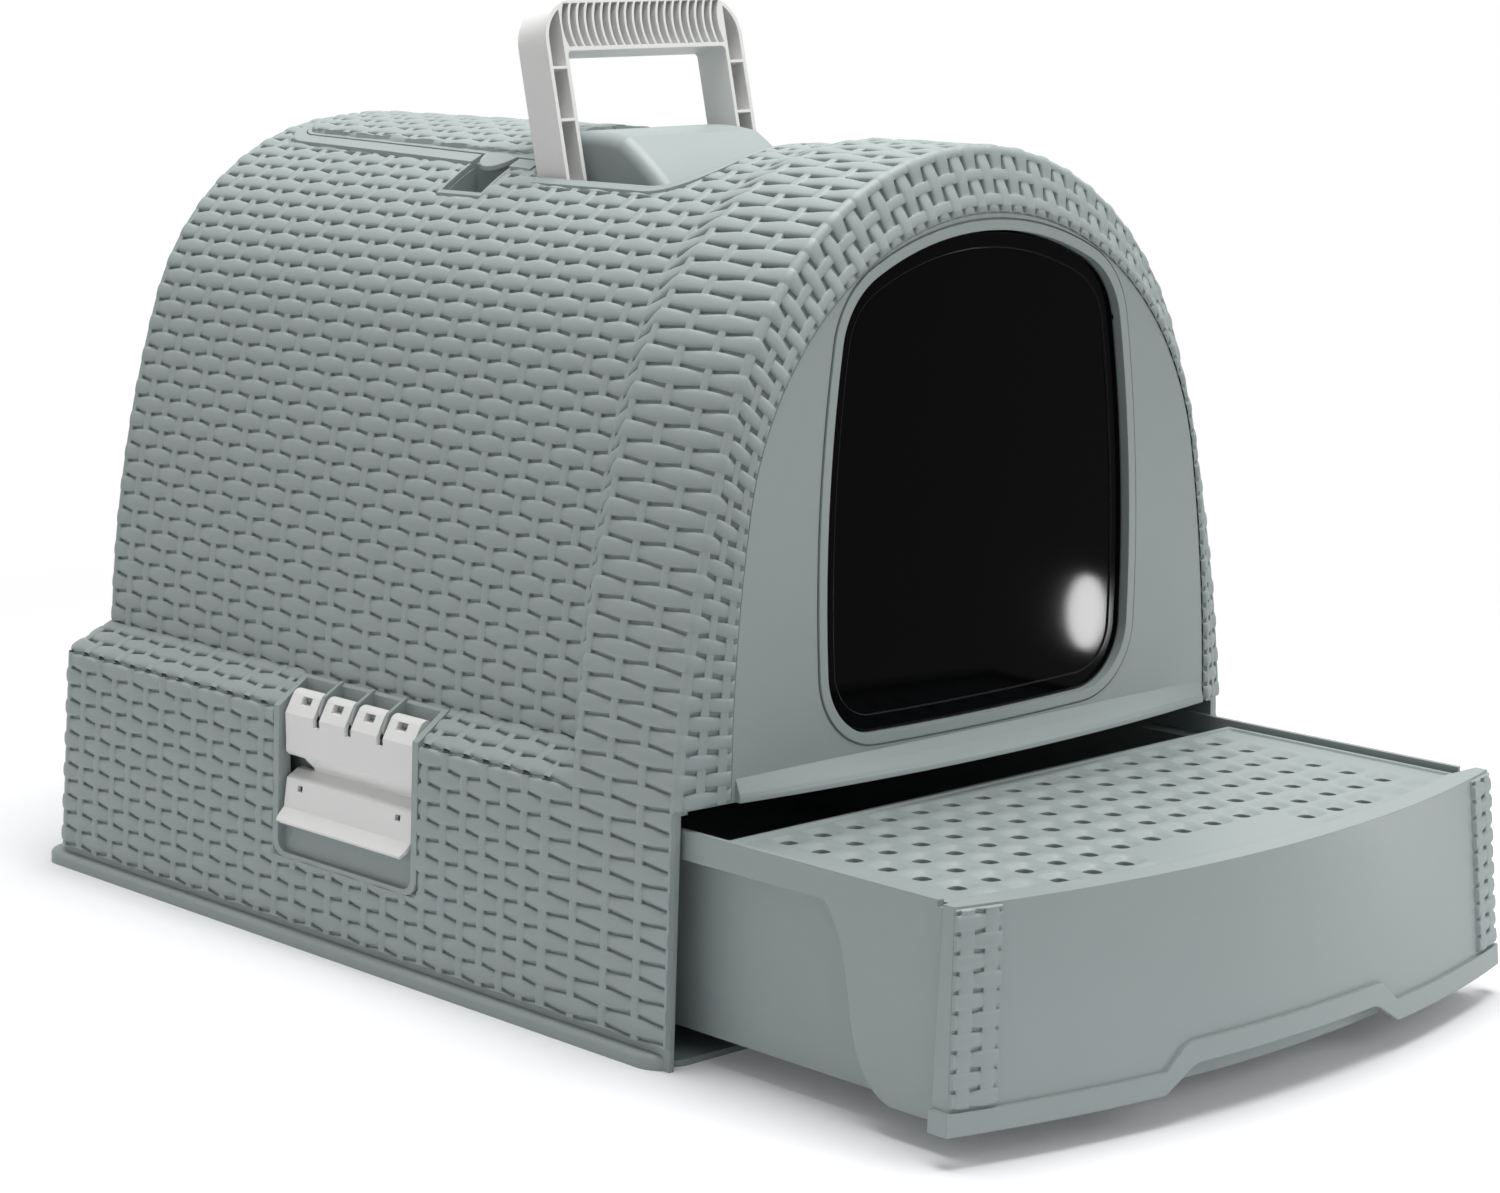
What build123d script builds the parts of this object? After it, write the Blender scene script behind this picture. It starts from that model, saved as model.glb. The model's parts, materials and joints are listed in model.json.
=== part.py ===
"""Hooded litter box: woven-look hood on a base pan, swing flap, pull-out drawer, clips and handle.

Millimetres. +Z is up, the front faces -Y, and the origin is on the floor under the hood's middle.
The pieces stand as photographed: drawer part open, handle up, flap, clips and lid shut.
"""
import os
from math import cos, hypot, radians, sin

from build123d import *

# Common sizes; cuts run out by the overrun, and solids that join run into each other by the lap
WALL = 2.6
SEAT_GAP = 0.3
OVERRUN = 600.0
LAP = 1.0

# Hood skirt: a drafted box, open below and in front
SKIRT_FOOT_HALF = 187.0
SKIRT_DRAFT = 5.0
SKIRT_TOP_HALF = SKIRT_FOOT_HALF - SKIRT_DRAFT
SKIRT_TOP_Z = 118.0
SKIRT_FRONT_Y = -257.0
SKIRT_REAR_FOOT_Y = 250.0
SKIRT_REAR_DRAFT = 6.0
SKIRT_REAR_TOP_Y = SKIRT_REAR_FOOT_Y - SKIRT_REAR_DRAFT
SKIRT_CORNER_R = 14.0
FLANGE_REACH = 5.5
FLANGE_HALF = SKIRT_FOOT_HALF + FLANGE_REACH
FLANGE_REAR_REACH = 7.0
FLANGE_REAR_Y = SKIRT_REAR_FOOT_Y + FLANGE_REAR_REACH
FLANGE_HEIGHT = 7.0
FLANGE_CORNER_R = 16.0
FLANGE_EDGE_R = 2.5

# Hood arches, each a crown arc that runs tangent into two long side arcs
SHOULDER_HEIGHT = 14.0
SHOULDER_TOP_Z = SKIRT_TOP_Z + SHOULDER_HEIGHT
SHOULDER_STEP = 20.0
SHOULDER_TOP_HALF = SKIRT_TOP_HALF - SHOULDER_STEP
SHOULDER_REAR_STEP = 0.7
SLOPE_INSET_SHARE = 0.6
BARREL_CROWN = 397.0
BARREL_BASE_HALF = SHOULDER_TOP_HALF + LAP
BARREL_FLATTENING = 28.0
BARREL_TOP_R = BARREL_BASE_HALF - BARREL_FLATTENING
BARREL_SINK = 18.0
BARREL_BASE_Z = SKIRT_TOP_Z - BARREL_SINK
BARREL_REAR_STEP = 15.0
BARREL_REAR_Y = SKIRT_REAR_TOP_Y - BARREL_REAR_STEP
BARREL_EDGE_R = 9.0
HOOP_RISE = 4.0
HOOP_CROWN = BARREL_CROWN + HOOP_RISE
HOOP_FLATTENING = 29.0
HOOP_TOP_R = SKIRT_TOP_HALF - HOOP_FLATTENING
HOOP_DEPTH = 67.0
HOOP_REAR_Y = SKIRT_FRONT_Y + HOOP_DEPTH
HOOP_INSET_SHARE = 0.7
ARCH_TURN = 71.0
FLARE_DEPTH = 22.0
FLARE_REAR_Y = HOOP_REAR_Y + FLARE_DEPTH

# Raised rows of the weave, counted over half an arch; each has a broad foot and a narrower crest
WEAVE_ROWS = 42
WEAVE_PITCH = 8.8
WEAVE_RISE = 1.3
WEAVE_FOOT_HALF = 2.3
WEAVE_CREST_HALF = 1.4
WEAVE_SINK = 0.6
WEAVE_END = 2.0

# Front panel and doorway
PANEL_STEP = 11.0
PANEL_Y = SKIRT_FRONT_Y - PANEL_STEP
PANEL_DROP = 28.0
PANEL_CROWN = HOOP_CROWN - PANEL_DROP
PANEL_BASE_STEP = 22.5
PANEL_BASE_HALF = SKIRT_TOP_HALF - PANEL_BASE_STEP
PANEL_FLATTENING = 9.5
PANEL_TOP_R = PANEL_BASE_HALF - PANEL_FLATTENING
PANEL_TURN = 80.0
PANEL_LIFT = 3.0
PANEL_BASE_Z = SKIRT_TOP_Z + PANEL_LIFT
PANEL_THICK = 3.0
PANEL_SEAT = 1.4
PANEL_SEAT_STEP = 8.4
PANEL_WEB = 4.0
SWELL_DEPTH = 15.0
SWELL_CORNER = 3.0
SWELL_PROUD = 0.4
SWELL_HEIGHT = 10.5
SWELL_SHARES = ((1.0, 0.0), (0.97, 0.19), (0.86, 0.38), (0.5, 0.667), (0.0, 1.0))
DOOR_TOP_STEP = 8.0
DOOR_TOP_Z = PANEL_CROWN - DOOR_TOP_STEP
DOOR_TOP_ARC = 157.0
DOOR_SIDE_STEP = 57.9
DOOR_HALF = PANEL_BASE_HALF - DOOR_SIDE_STEP
DOOR_SIDE_RISE = 84.0
DOOR_SIDE_Z = PANEL_BASE_Z + DOOR_SIDE_RISE
DOOR_SIDE_ARC = 700.0
DOOR_SILL = 17.0
DOOR_BOTTOM_Z = PANEL_BASE_Z + DOOR_SILL
DOOR_BOTTOM_ARC = 2400.0
DOOR_TOP_R = 40.0
DOOR_FOOT_R = 32.0
DOOR_LIP_DEPTH = 11.0
SWELL_FOOT_SHARE = 0.333
RING_WIDTH = 4.8
RING_RISE = 0.6
GROOVE_WIDTH = 0.9
GROOVE_DEPTH = 1.0

# Flap
FLAP_GAP = 1.2
FLAP_THICK = 3.6
FLAP_RIM = 7.0
FLAP_STEP = 0.8
FLAP_AXIS_DROP = 47.0
FLAP_AXIS_Z = DOOR_TOP_Z - FLAP_AXIS_DROP
FLAP_AXIS_Y = PANEL_Y + DOOR_LIP_DEPTH / 2
FLAP_PIN_R = 1.6
FLAP_PIN_ROOT_STEP = 16.6
FLAP_PIN_ROOT = DOOR_HALF - FLAP_PIN_ROOT_STEP
FLAP_PIN_STEP = 7.6
FLAP_PIN_REACH = DOOR_HALF - FLAP_PIN_STEP
PIN_PLAY = 0.08

# Handle and the recess that it folds into
RECESS_HALF = 69.0
RECESS_REAR_Y = -17.0
RECESS_FRONT_Y = -141.0
RECESS_CORNER_R = 30.0
RECESS_DEPTH = 38.0
RECESS_FLOOR_Z = BARREL_CROWN - RECESS_DEPTH
RECESS_RIM_WIDTH = 4.0
RECESS_RIM_RISE = 2.4
HANDLE_AXIS_Y = -36.5
HANDLE_AXIS_RISE = 12.5
HANDLE_AXIS_Z = RECESS_FLOOR_Z + HANDLE_AXIS_RISE
HANDLE_LEAN = 12.5
HANDLE_HALF = 65.5
HANDLE_HEIGHT = 96.0
HANDLE_DEPTH = 22.0
HANDLE_LEG = 13.0
HANDLE_GRIP = 26.0
HANDLE_CORNER_R = 21.0
HANDLE_WALL = 2.2
HANDLE_SLOTS = 20
HANDLE_FIN = 1.5
HANDLE_FIN_BOW = 2.5
HANDLE_RIBS = (36.0, 62.0)
HANDLE_PIN_R = 4.0
HANDLE_PIN_SHORT = 0.4
STOP_GAP = 2.0
STOP_WIDTH = 8.0
STOP_RISE = 6.0
BUMP_HALF = 47.5
BUMP_FRONT_Y = -100.0
BUMP_RISE = 6.0
BUMP_CROWN = BARREL_CROWN + BUMP_RISE
BUMP_CROWN_Y = -46.0
BUMP_REAR_DROP = 2.5
BUMP_BROW_Y = -66.0
BUMP_BROW_DROP = 2.0
BUMP_BEND = 16.0
BUMP_BEND_DROP = 12.0
BUMP_FRONT_DROP = 27.0
BUMP_EDGE_R = 7.0

# Top lid, its border on the hood, and the finger pockets beside it
LID_FRONT_Y = -11.0
LID_REAR_Y = 205.0
LID_FRONT_HALF = 57.0
LID_REAR_HALF = 47.0
LID_CORNER_R = 16.0
LID_BOTTOM = 1.4
LID_TOP = 3.6
LID_LEDGE = 6.0
LID_BORDER = 7.0
LID_GAP = 0.6
TAB_R = 14.0
TAB_INSET = 5.0
POCKET_FRONT_Y = 1.0
POCKET_REAR_Y = 33.0
POCKET_REACH = 27.0
POCKET_HALF_OUT = LID_FRONT_HALF + POCKET_REACH
POCKET_DEPTH = 39.0
POCKET_FLOOR_Z = BARREL_CROWN - POCKET_DEPTH
POCKET_WALL = 2.0

# Filter under the lid
FILTER_WALL = 1.6
FILTER_FLANGE = 1.0
FILTER_LIFT = 0.1
FILTER_DEPTH = 33.0
FILTER_FLOOR_Z = BARREL_CROWN - FILTER_DEPTH
FILTER_SLOT = 5.0
FILTER_SLOTS = 15
FILTER_PAD_THICK = 9.0

# Side clips, drawn for the left side and mirrored for the right. Outlines are shares of the room's depth
# and height, counted inwards from the clip's face and up from the room's foot
CLIP_MID_Y = -15.0
CLIP_WIDTH = 104.0
CLIP_CORNER_R = 7.0
CLIP_THICK = 2.2
CLIP_PROUD = 0.6
CLIP_FACE_X = -SKIRT_TOP_HALF - CLIP_PROUD
CLIP_AXIS_IN = 9.1
CLIP_AXIS_X = CLIP_FACE_X + CLIP_AXIS_IN
CLIP_AXIS_RISE = 5.0
CLIP_AXIS_Z = SKIRT_TOP_Z + CLIP_AXIS_RISE
CLIP_ROD_R = 2.0
CLIP_KNUCKLE_R = 4.6
CLIP_KNUCKLE_RISE = 1.0
CLIP_BEND_DROP = 7.0
CLIP_FINGERS = 4
CLIP_FINGER_PITCH = 26.0
CLIP_FINGER_WIDTH = 21.0
CLIP_HOOK_IN = 10.0
CLIP_HOOK_X = CLIP_FACE_X + CLIP_HOOK_IN
CLIP_PLATE_DROP = 21.0
CLIP_PLATE_Z = SKIRT_TOP_Z - CLIP_PLATE_DROP
CLIP_HOOK_DROP = 8.0
CLIP_HOOK_TOP = CLIP_PLATE_Z - CLIP_HOOK_DROP
CLIP_HOOK_DEEP = 2.0
CLIP_HOOK_FOOT = CLIP_HOOK_TOP - CLIP_HOOK_DEEP
CLIP_TAB_DROP = 4.5
CLIP_TAB_Z = CLIP_HOOK_FOOT - CLIP_TAB_DROP
CLIP_SLOT_DROP = 6.0
CLIP_SLOT_Z = SKIRT_TOP_Z - CLIP_SLOT_DROP
CLIP_EYE = 4.0
CLIP_TAB_EYE_DROP = 2.0
CLIP_TAB_EYE_HEIGHT = 3.0
CLIP_NOTCH = 13.0
CLIP_LIP_OUT = 7.4
CLIP_LIP_DROP = 56.0
CLIP_LIP_BEND = 6.0
CLIP_RECESS_WIDTH = 109.0
CLIP_RECESS_R = 6.5
CLIP_RIB = 2.2
CLIP_FRAME = 4.5
CLIP_FRAME_R = 9.0
CLIP_FRAME_RISE = 2.4
CLIP_ROOM_DEPTH = 20.0
CLIP_ROOM_HEIGHT = 100.0
CLIP_ROOM_DROP = 72.0
CLIP_ROOM_FOOT = SKIRT_TOP_Z - CLIP_ROOM_DROP
CLIP_VOID_SHARES = ((-1.12, 0.0), (-0.095, 0.0), (0.305, 0.34), (0.58, 0.34), (0.58, 0.52), (0.16, 0.52),
                    (0.16, 0.685), (0.78, 0.685), (0.78, 0.87), (-1.12, 1.04))
CLIP_TUB_SHARES = ((-1.12, -0.025), (0.005, -0.025), (0.4, 0.32), (0.4, 0.36), (0.22, 0.38), (0.22, 0.663),
                   (0.88, 0.663), (0.88, 0.9), (-1.12, 1.06))
CLIP_RIB_SHARES = ((0.83, 0.67), (0.33, 0.67), (0.08, 0.73), (0.255, 0.815), (0.83, 0.88))

# Base pan
BASE_FLOOR = 3.0
BASE_FLOOR_STEP = 4.0
BASE_HALF = SKIRT_FOOT_HALF - BASE_FLOOR_STEP
BASE_WALL_STEP = 11.5
BASE_WALL_OUT = SKIRT_TOP_HALF - BASE_WALL_STEP
BASE_WALL_THICK = 2.5
BASE_WALL_IN = BASE_WALL_OUT - BASE_WALL_THICK
BASE_WALL_DROP = 22.5
BASE_WALL_TOP = SKIRT_TOP_Z - BASE_WALL_DROP
BASE_LEDGE_REACH = 4.1
BASE_LEDGE_OUT = BASE_WALL_OUT + BASE_LEDGE_REACH
BASE_LEDGE_THICK = 2.8
BASE_FRONT_STEP = 3.0
BASE_FRONT_Y = SKIRT_FRONT_Y + BASE_FRONT_STEP
BASE_FLOOR_REAR_Y = SKIRT_REAR_FOOT_Y - BASE_FLOOR_STEP
BASE_WALL_SETBACK = 81.0
BASE_WALL_FRONT_Y = SKIRT_FRONT_Y + BASE_WALL_SETBACK
BASE_REAR_STEP = 6.0
BASE_REAR_Y = SKIRT_REAR_TOP_Y - BASE_REAR_STEP
BASE_RUNNERS = (-120.0, -40.0, 40.0, 120.0)
BASE_RUNNER_SETBACK = 12.0
BASE_NOSE = 30.0
BASE_CORNER_R = 10.0

# Drawer, standing this far out of its closed place
DRAWER_OUT = 160.0
DRAWER_TOP_DROP = 8.5
DRAWER_TOP = SKIRT_TOP_Z - DRAWER_TOP_DROP
DRAWER_FLOOR_Z = 14.0
DRAWER_RIM_STEP = 5.0
DRAWER_RIM_HALF = SKIRT_TOP_HALF - DRAWER_RIM_STEP
DRAWER_RIM_DEPTH = 13.5
DRAWER_RIM_BOTTOM = DRAWER_TOP - DRAWER_RIM_DEPTH
DRAWER_WALL_GAP = 2.0
DRAWER_WALL_HALF = BASE_WALL_IN - DRAWER_WALL_GAP
DRAWER_REAR_GAP = 8.0
DRAWER_REAR_CLOSED_Y = BASE_REAR_Y - DRAWER_REAR_GAP
DRAWER_EDGE_R = 8.0
FASCIA_CORNER_STEP = 8.5
FASCIA_CORNER_CLOSED_Y = SKIRT_FRONT_Y - FASCIA_CORNER_STEP
FASCIA_TOP_STEP = 1.5
FASCIA_TOP_HALF = SKIRT_TOP_HALF - FASCIA_TOP_STEP
FASCIA_FOOT_HALF = SKIRT_FOOT_HALF
FASCIA_FOOT_STEP = 5.0
FASCIA_BULGE = 27.0
FASCIA_RETURN = 6.5
FASCIA_LEDGE = 13.0
LIP_HEIGHT = 10.0
LIP_REACH = 1.8
NOTCH_HALF = 62.0
NOTCH_SLOPE = 18.0
NOTCH_HEIGHT = 11.0
NOTCH_R = 14.0
WING_LENGTH = 107.5
WING_HEIGHT = DRAWER_RIM_BOTTOM - DRAWER_FLOOR_Z
WING_SHARES = ((1.0, 1.0), (0.888, 0.707), (0.767, 0.122), (0.6, -0.012))

# Step grid
GRID_DROP = 3.5
GRID_TOP = DRAWER_TOP - GRID_DROP
GRID_THICK = 6.0
GRID_SIDE_STEP = 6.0
GRID_HALF = DRAWER_RIM_HALF - GRID_SIDE_STEP
GRID_SETBACK = 10.5
GRID_REAR_Y = FASCIA_CORNER_CLOSED_Y - GRID_SETBACK
GRID_PITCH = 20.6
GRID_FIRST_ROW = 13.0
GRID_COLUMNS = 15
GRID_ROWS = 8
GRID_DIMPLE = 17.4
GRID_DISH = 3.4
GRID_HOLE = (6.2, 5.4)
GRID_BEAD = 2.2
GRID_LEDGE = 4.0
GRID_PLATE = (96.0, 26.0)


def block(x0, x1, y0, y1, z0, z1):
    """A box between two corners."""
    size = (x1 - x0, y1 - y0, z1 - z0)
    return Pos((x0 + x1) / 2, (y0 + y1) / 2, (z0 + z1) / 2) * Box(*size)


def front_plane(y):
    """The XZ plane at depth y; extruding from it goes towards the front."""
    return Plane.XZ.offset(-y)


def slab(y_rear, y_front, face):
    """An XZ face drawn out from y_rear forward to y_front."""
    return extrude(front_plane(y_rear) * face, amount=y_rear - y_front)


def side_slab(x_mid, width, face):
    """A YZ face drawn out along X, centred on x_mid."""
    return extrude(Plane.YZ.offset(x_mid - width / 2) * face, amount=width)


def plan_slab(z0, z1, face):
    """An XY face drawn up from z0 to z1."""
    return extrude(Plane.XY.offset(z0) * face, amount=z1 - z0)


def mirrored(shape):
    """The same shape on the other side of the middle plane."""
    return mirror(shape, about=Plane.YZ)


# Hood


def arch(crown, top_r, turn, base_half, base_z, inset=0.0):
    """An arch section: crown arc, two tangent side arcs and a flat base."""
    radius = top_r - inset
    centre = crown - top_r
    bend = radians(turn)
    join_x = radius * sin(bend)
    join_z = centre + radius * cos(bend)
    half = base_half - inset
    top = CenterArc((0, centre), radius, 90 - turn, 2 * turn)
    right = TangentArc((join_x, join_z), (half, base_z), tangent=(cos(bend), -sin(bend)))
    left = TangentArc((-join_x, join_z), (-half, base_z), tangent=(-cos(bend), -sin(bend)))
    base = Line((-half, base_z), (half, base_z))
    return make_face([top, right, left, base])


def barrel_arch(inset=0.0, base_z=BARREL_BASE_Z):
    """The barrel's section."""
    return arch(BARREL_CROWN, BARREL_TOP_R, ARCH_TURN, BARREL_BASE_HALF, base_z, inset)


def hoop_arch(inset=0.0):
    """The front hoop's section."""
    base_z = SKIRT_TOP_Z - SLOPE_INSET_SHARE * inset
    return arch(HOOP_CROWN, HOOP_TOP_R, ARCH_TURN, SKIRT_TOP_HALF, base_z, inset)


def panel_arch(inset=0.0, base_z=PANEL_BASE_Z):
    """The front panel's section."""
    return arch(PANEL_CROWN, PANEL_TOP_R, PANEL_TURN, PANEL_BASE_HALF, base_z, inset)


def skirt_half(z):
    """Half width of the skirt at a height."""
    return SKIRT_FOOT_HALF + (SKIRT_TOP_HALF - SKIRT_FOOT_HALF) * z / SKIRT_TOP_Z


def skirt_rear(z):
    """Rear face of the skirt at a height."""
    return SKIRT_REAR_FOOT_Y + (SKIRT_REAR_TOP_Y - SKIRT_REAR_FOOT_Y) * z / SKIRT_TOP_Z


def plan_rect(half, y_front, y_rear, corner):
    """A rounded rectangle in plan."""
    return Pos(0, (y_front + y_rear) / 2) * RectangleRounded(2 * half, y_rear - y_front, corner)


def skirt_level(z, inset):
    """One level of the drafted skirt, running out past the front."""
    return plan_rect(skirt_half(z) - inset, -OVERRUN / 2, skirt_rear(z) - inset, SKIRT_CORNER_R - inset)


def hood_volume(inset):
    """The hood's outer form, or with an inset the hollow inside it."""
    foot_z = -inset
    top_z = SKIRT_TOP_Z - SLOPE_INSET_SHARE * inset
    shoulder_z = SHOULDER_TOP_Z - SLOPE_INSET_SHARE * inset
    hoop_front = SKIRT_FRONT_Y + HOOP_INSET_SHARE * inset
    skirt = loft([Plane.XY.offset(z) * skirt_level(z, inset) for z in (foot_z, top_z)], ruled=True)
    front = HOOP_REAR_Y - WALL
    rear = BARREL_REAR_Y - SHOULDER_REAR_STEP
    low = plan_rect(SKIRT_TOP_HALF - inset, front, SKIRT_REAR_TOP_Y - inset, SKIRT_CORNER_R - inset)
    high = plan_rect(SHOULDER_TOP_HALF - inset, front, rear - inset, BARREL_EDGE_R)
    shoulder = loft([Plane.XY.offset(top_z) * low, Plane.XY.offset(shoulder_z) * high], ruled=True)
    barrel = slab(BARREL_REAR_Y - inset, FLARE_REAR_Y, barrel_arch(inset))
    rear_edges = barrel.edges().group_by(Axis.Y)[-1].filter_by(GeomType.CIRCLE)
    if inset == 0.0:
        barrel = fillet(rear_edges, BARREL_EDGE_R)
    flare = loft([front_plane(FLARE_REAR_Y) * barrel_arch(inset, top_z),
                  front_plane(HOOP_REAR_Y) * hoop_arch(inset)], ruled=True)
    hoop = slab(HOOP_REAR_Y, hoop_front, hoop_arch(inset))
    band = loft([front_plane(hoop_front) * hoop_arch(inset),
                 front_plane(PANEL_Y + inset) * panel_arch(inset, PANEL_BASE_Z - 2 * inset)], ruled=True)
    return skirt + shoulder + barrel + flare + hoop + band


def crown_layer(plan, bottom, top):
    """A plan shape cut to the layer between two offsets from the barrel's surface."""
    column = plan_slab(SHOULDER_TOP_Z, OVERRUN, plan)
    outer = slab(BARREL_REAR_Y, FLARE_REAR_Y, barrel_arch(-top))
    inner = slab(BARREL_REAR_Y + LAP, FLARE_REAR_Y - LAP, barrel_arch(-bottom))
    return (column & outer) - inner


def recess_plan(grow=0.0):
    """Plan of the handle recess: square at the lid, rounded in front."""
    y_mid = (RECESS_REAR_Y + RECESS_FRONT_Y) / 2
    face = Pos(0, y_mid) * Rectangle(2 * RECESS_HALF, RECESS_REAR_Y - RECESS_FRONT_Y)
    face = fillet(face.vertices().group_by(Axis.Y)[0], RECESS_CORNER_R)
    return offset(face, grow) if grow else face


def lid_plan(grow=0.0):
    """Plan of the lid: straight front edge, sides closing in to a rounded rear."""
    corners = [(-LID_FRONT_HALF, LID_FRONT_Y), (LID_FRONT_HALF, LID_FRONT_Y),
               (LID_REAR_HALF, LID_REAR_Y), (-LID_REAR_HALF, LID_REAR_Y)]
    face = make_face(Polyline(*corners, close=True))
    face = fillet(face.vertices().group_by(Axis.Y)[-1], LID_CORNER_R)
    return offset(face, grow, kind=Kind.INTERSECTION) if grow else face


def bump(inset=0.0):
    """The smooth bump between the handle's legs: a side profile with rounded shoulders."""
    rear = RECESS_REAR_Y + LAP - inset
    front = BUMP_FRONT_Y + inset
    foot = RECESS_FLOOR_Z - WALL / 2 - inset
    crown = BUMP_CROWN - inset
    brow = (BUMP_BROW_Y, crown - BUMP_BROW_DROP)
    bend = (BUMP_BROW_Y - BUMP_BEND, crown - BUMP_BEND_DROP)
    outline = [Line((rear, foot), (rear, crown - BUMP_REAR_DROP)),
               ThreePointArc((rear, crown - BUMP_REAR_DROP), (BUMP_CROWN_Y, crown), brow),
               ThreePointArc(brow, bend, (front, crown - BUMP_FRONT_DROP)),
               Line((front, crown - BUMP_FRONT_DROP), (front, foot)),
               Line((front, foot), (rear, foot))]
    body = side_slab(0, 2 * (BUMP_HALF - inset), make_face(outline))
    rims = body.edges().filter_by(GeomType.CIRCLE)
    rims = rims.filter_by(lambda e: e.length > BUMP_BEND_DROP and e.center().Z > RECESS_FLOOR_Z + BUMP_EDGE_R)
    return fillet(rims, BUMP_EDGE_R)


def pocket():
    """The solid that a finger pocket beside the lid is hollowed from."""
    body = block(LID_FRONT_HALF, POCKET_HALF_OUT, POCKET_FRONT_Y - POCKET_WALL, POCKET_REAR_Y + POCKET_WALL,
                 POCKET_FLOOR_Z - POCKET_WALL, OVERRUN)
    roof = slab(POCKET_REAR_Y + POCKET_WALL, POCKET_FRONT_Y - POCKET_WALL, barrel_arch(-RECESS_RIM_RISE))
    return body & roof


def pocket_well():
    """The hollow of a finger pocket, with the step that the lid's tab lies over."""
    inner = LID_FRONT_HALF + POCKET_WALL
    outer = POCKET_HALF_OUT - POCKET_WALL
    well = block(inner, outer, POCKET_FRONT_Y, POCKET_REAR_Y, POCKET_FLOOR_Z, OVERRUN)
    step = Pos(inner, (POCKET_FRONT_Y + POCKET_REAR_Y) / 2)
    step = step * Rectangle(2 * LID_BORDER + 2 * POCKET_WALL, POCKET_REAR_Y - POCKET_FRONT_Y)
    return well + crown_layer(step, LID_BOTTOM - FILTER_FLANGE, 3 * LID_TOP)


def clip_outline(shares):
    """An XZ outline of the left clip's room, from shares of its depth and height."""
    points = [(CLIP_FACE_X + deep * CLIP_ROOM_DEPTH, CLIP_ROOM_FOOT + high * CLIP_ROOM_HEIGHT)
              for deep, high in shares]
    return make_face(Polyline(*points, close=True))


def clip_slab(width, face):
    """An XZ face of the clip group drawn out to a width about the clip's middle."""
    return slab(CLIP_MID_Y + width / 2, CLIP_MID_Y - width / 2, face)


def clip_window(width, foot, corner):
    """A column of the clip's width, seen from the side, with rounded lower corners."""
    face = Pos(CLIP_MID_Y, foot + OVERRUN / 2) * RectangleRounded(width, OVERRUN, corner)
    return side_slab(0, 2 * OVERRUN, face)


def clip_room(width, shares, corner):
    """A room outline drawn out to a width, with rounded lower corners."""
    foot = CLIP_ROOM_FOOT + shares[0][1] * CLIP_ROOM_HEIGHT
    return clip_slab(width + 2 * LAP, clip_outline(shares)) & clip_window(width, foot, corner)


def clip_rib_places():
    """Depths of the ribs between the clip's fingers."""
    first = CLIP_MID_Y - CLIP_FINGER_PITCH * (CLIP_FINGERS - 2) / 2
    return [first + CLIP_FINGER_PITCH * i for i in range(CLIP_FINGERS - 1)]


def clip_rod(radius, length):
    """A rod on the left clip's axis."""
    turned = Pos(CLIP_AXIS_X, CLIP_MID_Y, CLIP_AXIS_Z) * Rot(90, 0, 0)
    return turned * Cylinder(radius, length)


def clip_ribs():
    """The three ribs that carry the clip's rod."""
    face = clip_outline(CLIP_RIB_SHARES)
    return [slab(y + CLIP_RIB / 2, y - CLIP_RIB / 2, face) for y in clip_rib_places()]


def weave_rib(point, out):
    """Section of one raised row, standing on a point of a wall and facing out."""
    run = Vector(out.Y, -out.X)
    foot = point - out * WEAVE_SINK
    crest = point + out * WEAVE_RISE
    return make_face(Polyline(foot - run * WEAVE_FOOT_HALF, foot + run * WEAVE_FOOT_HALF,
                              crest + run * WEAVE_CREST_HALF, crest - run * WEAVE_CREST_HALF, close=True))


def barrel_ribs():
    """The weave's rows along the barrel, spaced evenly from its crown down to the shoulder's top."""
    bend = radians(ARCH_TURN)
    centre = BARREL_CROWN - BARREL_TOP_R
    join = (BARREL_TOP_R * sin(bend), centre + BARREL_TOP_R * cos(bend))
    side = TangentArc(join, (BARREL_BASE_HALF, BARREL_BASE_Z), tangent=(cos(bend), -sin(bend)))
    top_length = BARREL_TOP_R * bend
    slope = hypot(SHOULDER_STEP, SHOULDER_HEIGHT)
    pitch = (top_length + side.length - (SHOULDER_TOP_Z - BARREL_BASE_Z) + slope) / WEAVE_ROWS
    ribs = []
    for row in range(WEAVE_ROWS):
        along = pitch * (row + 0.5)
        if along < top_length:
            out = Vector(sin(along / BARREL_TOP_R), cos(along / BARREL_TOP_R))
            point = Vector(0, centre) + out * BARREL_TOP_R
        else:
            share = (along - top_length) / side.length
            run = side % share
            out = Vector(-run.Y, run.X)
            point = side @ share
        if point.Y - WEAVE_FOOT_HALF < SHOULDER_TOP_Z:
            break
        face = weave_rib(point, out)
        rib = slab(BARREL_REAR_Y - BARREL_EDGE_R - WEAVE_END, FLARE_REAR_Y + WEAVE_END, face)
        ribs += [rib, mirrored(rib)]
    return ribs


def skirt_ribs():
    """The weave's rows along the skirt's sides and rear, from its top edge down to the flange."""
    side_out = Vector(SKIRT_TOP_Z, SKIRT_DRAFT).normalized()
    rear_out = Vector(SKIRT_TOP_Z, SKIRT_REAR_DRAFT).normalized()
    inset = SKIRT_CORNER_R + WEAVE_END
    ribs = []
    z = SKIRT_TOP_Z - WEAVE_PITCH / 2
    while z - WEAVE_FOOT_HALF > FLANGE_HEIGHT + WEAVE_END:
        side = weave_rib(Vector(skirt_half(z), z), side_out)
        side = slab(skirt_rear(z) - inset, SKIRT_FRONT_Y + WEAVE_END, side)
        rear = weave_rib(Vector(skirt_rear(z), z), rear_out)
        rear = side_slab(0, 2 * (skirt_half(z) - inset), rear)
        ribs += [side, mirrored(side), rear]
        z = z - WEAVE_PITCH
    return ribs


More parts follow.
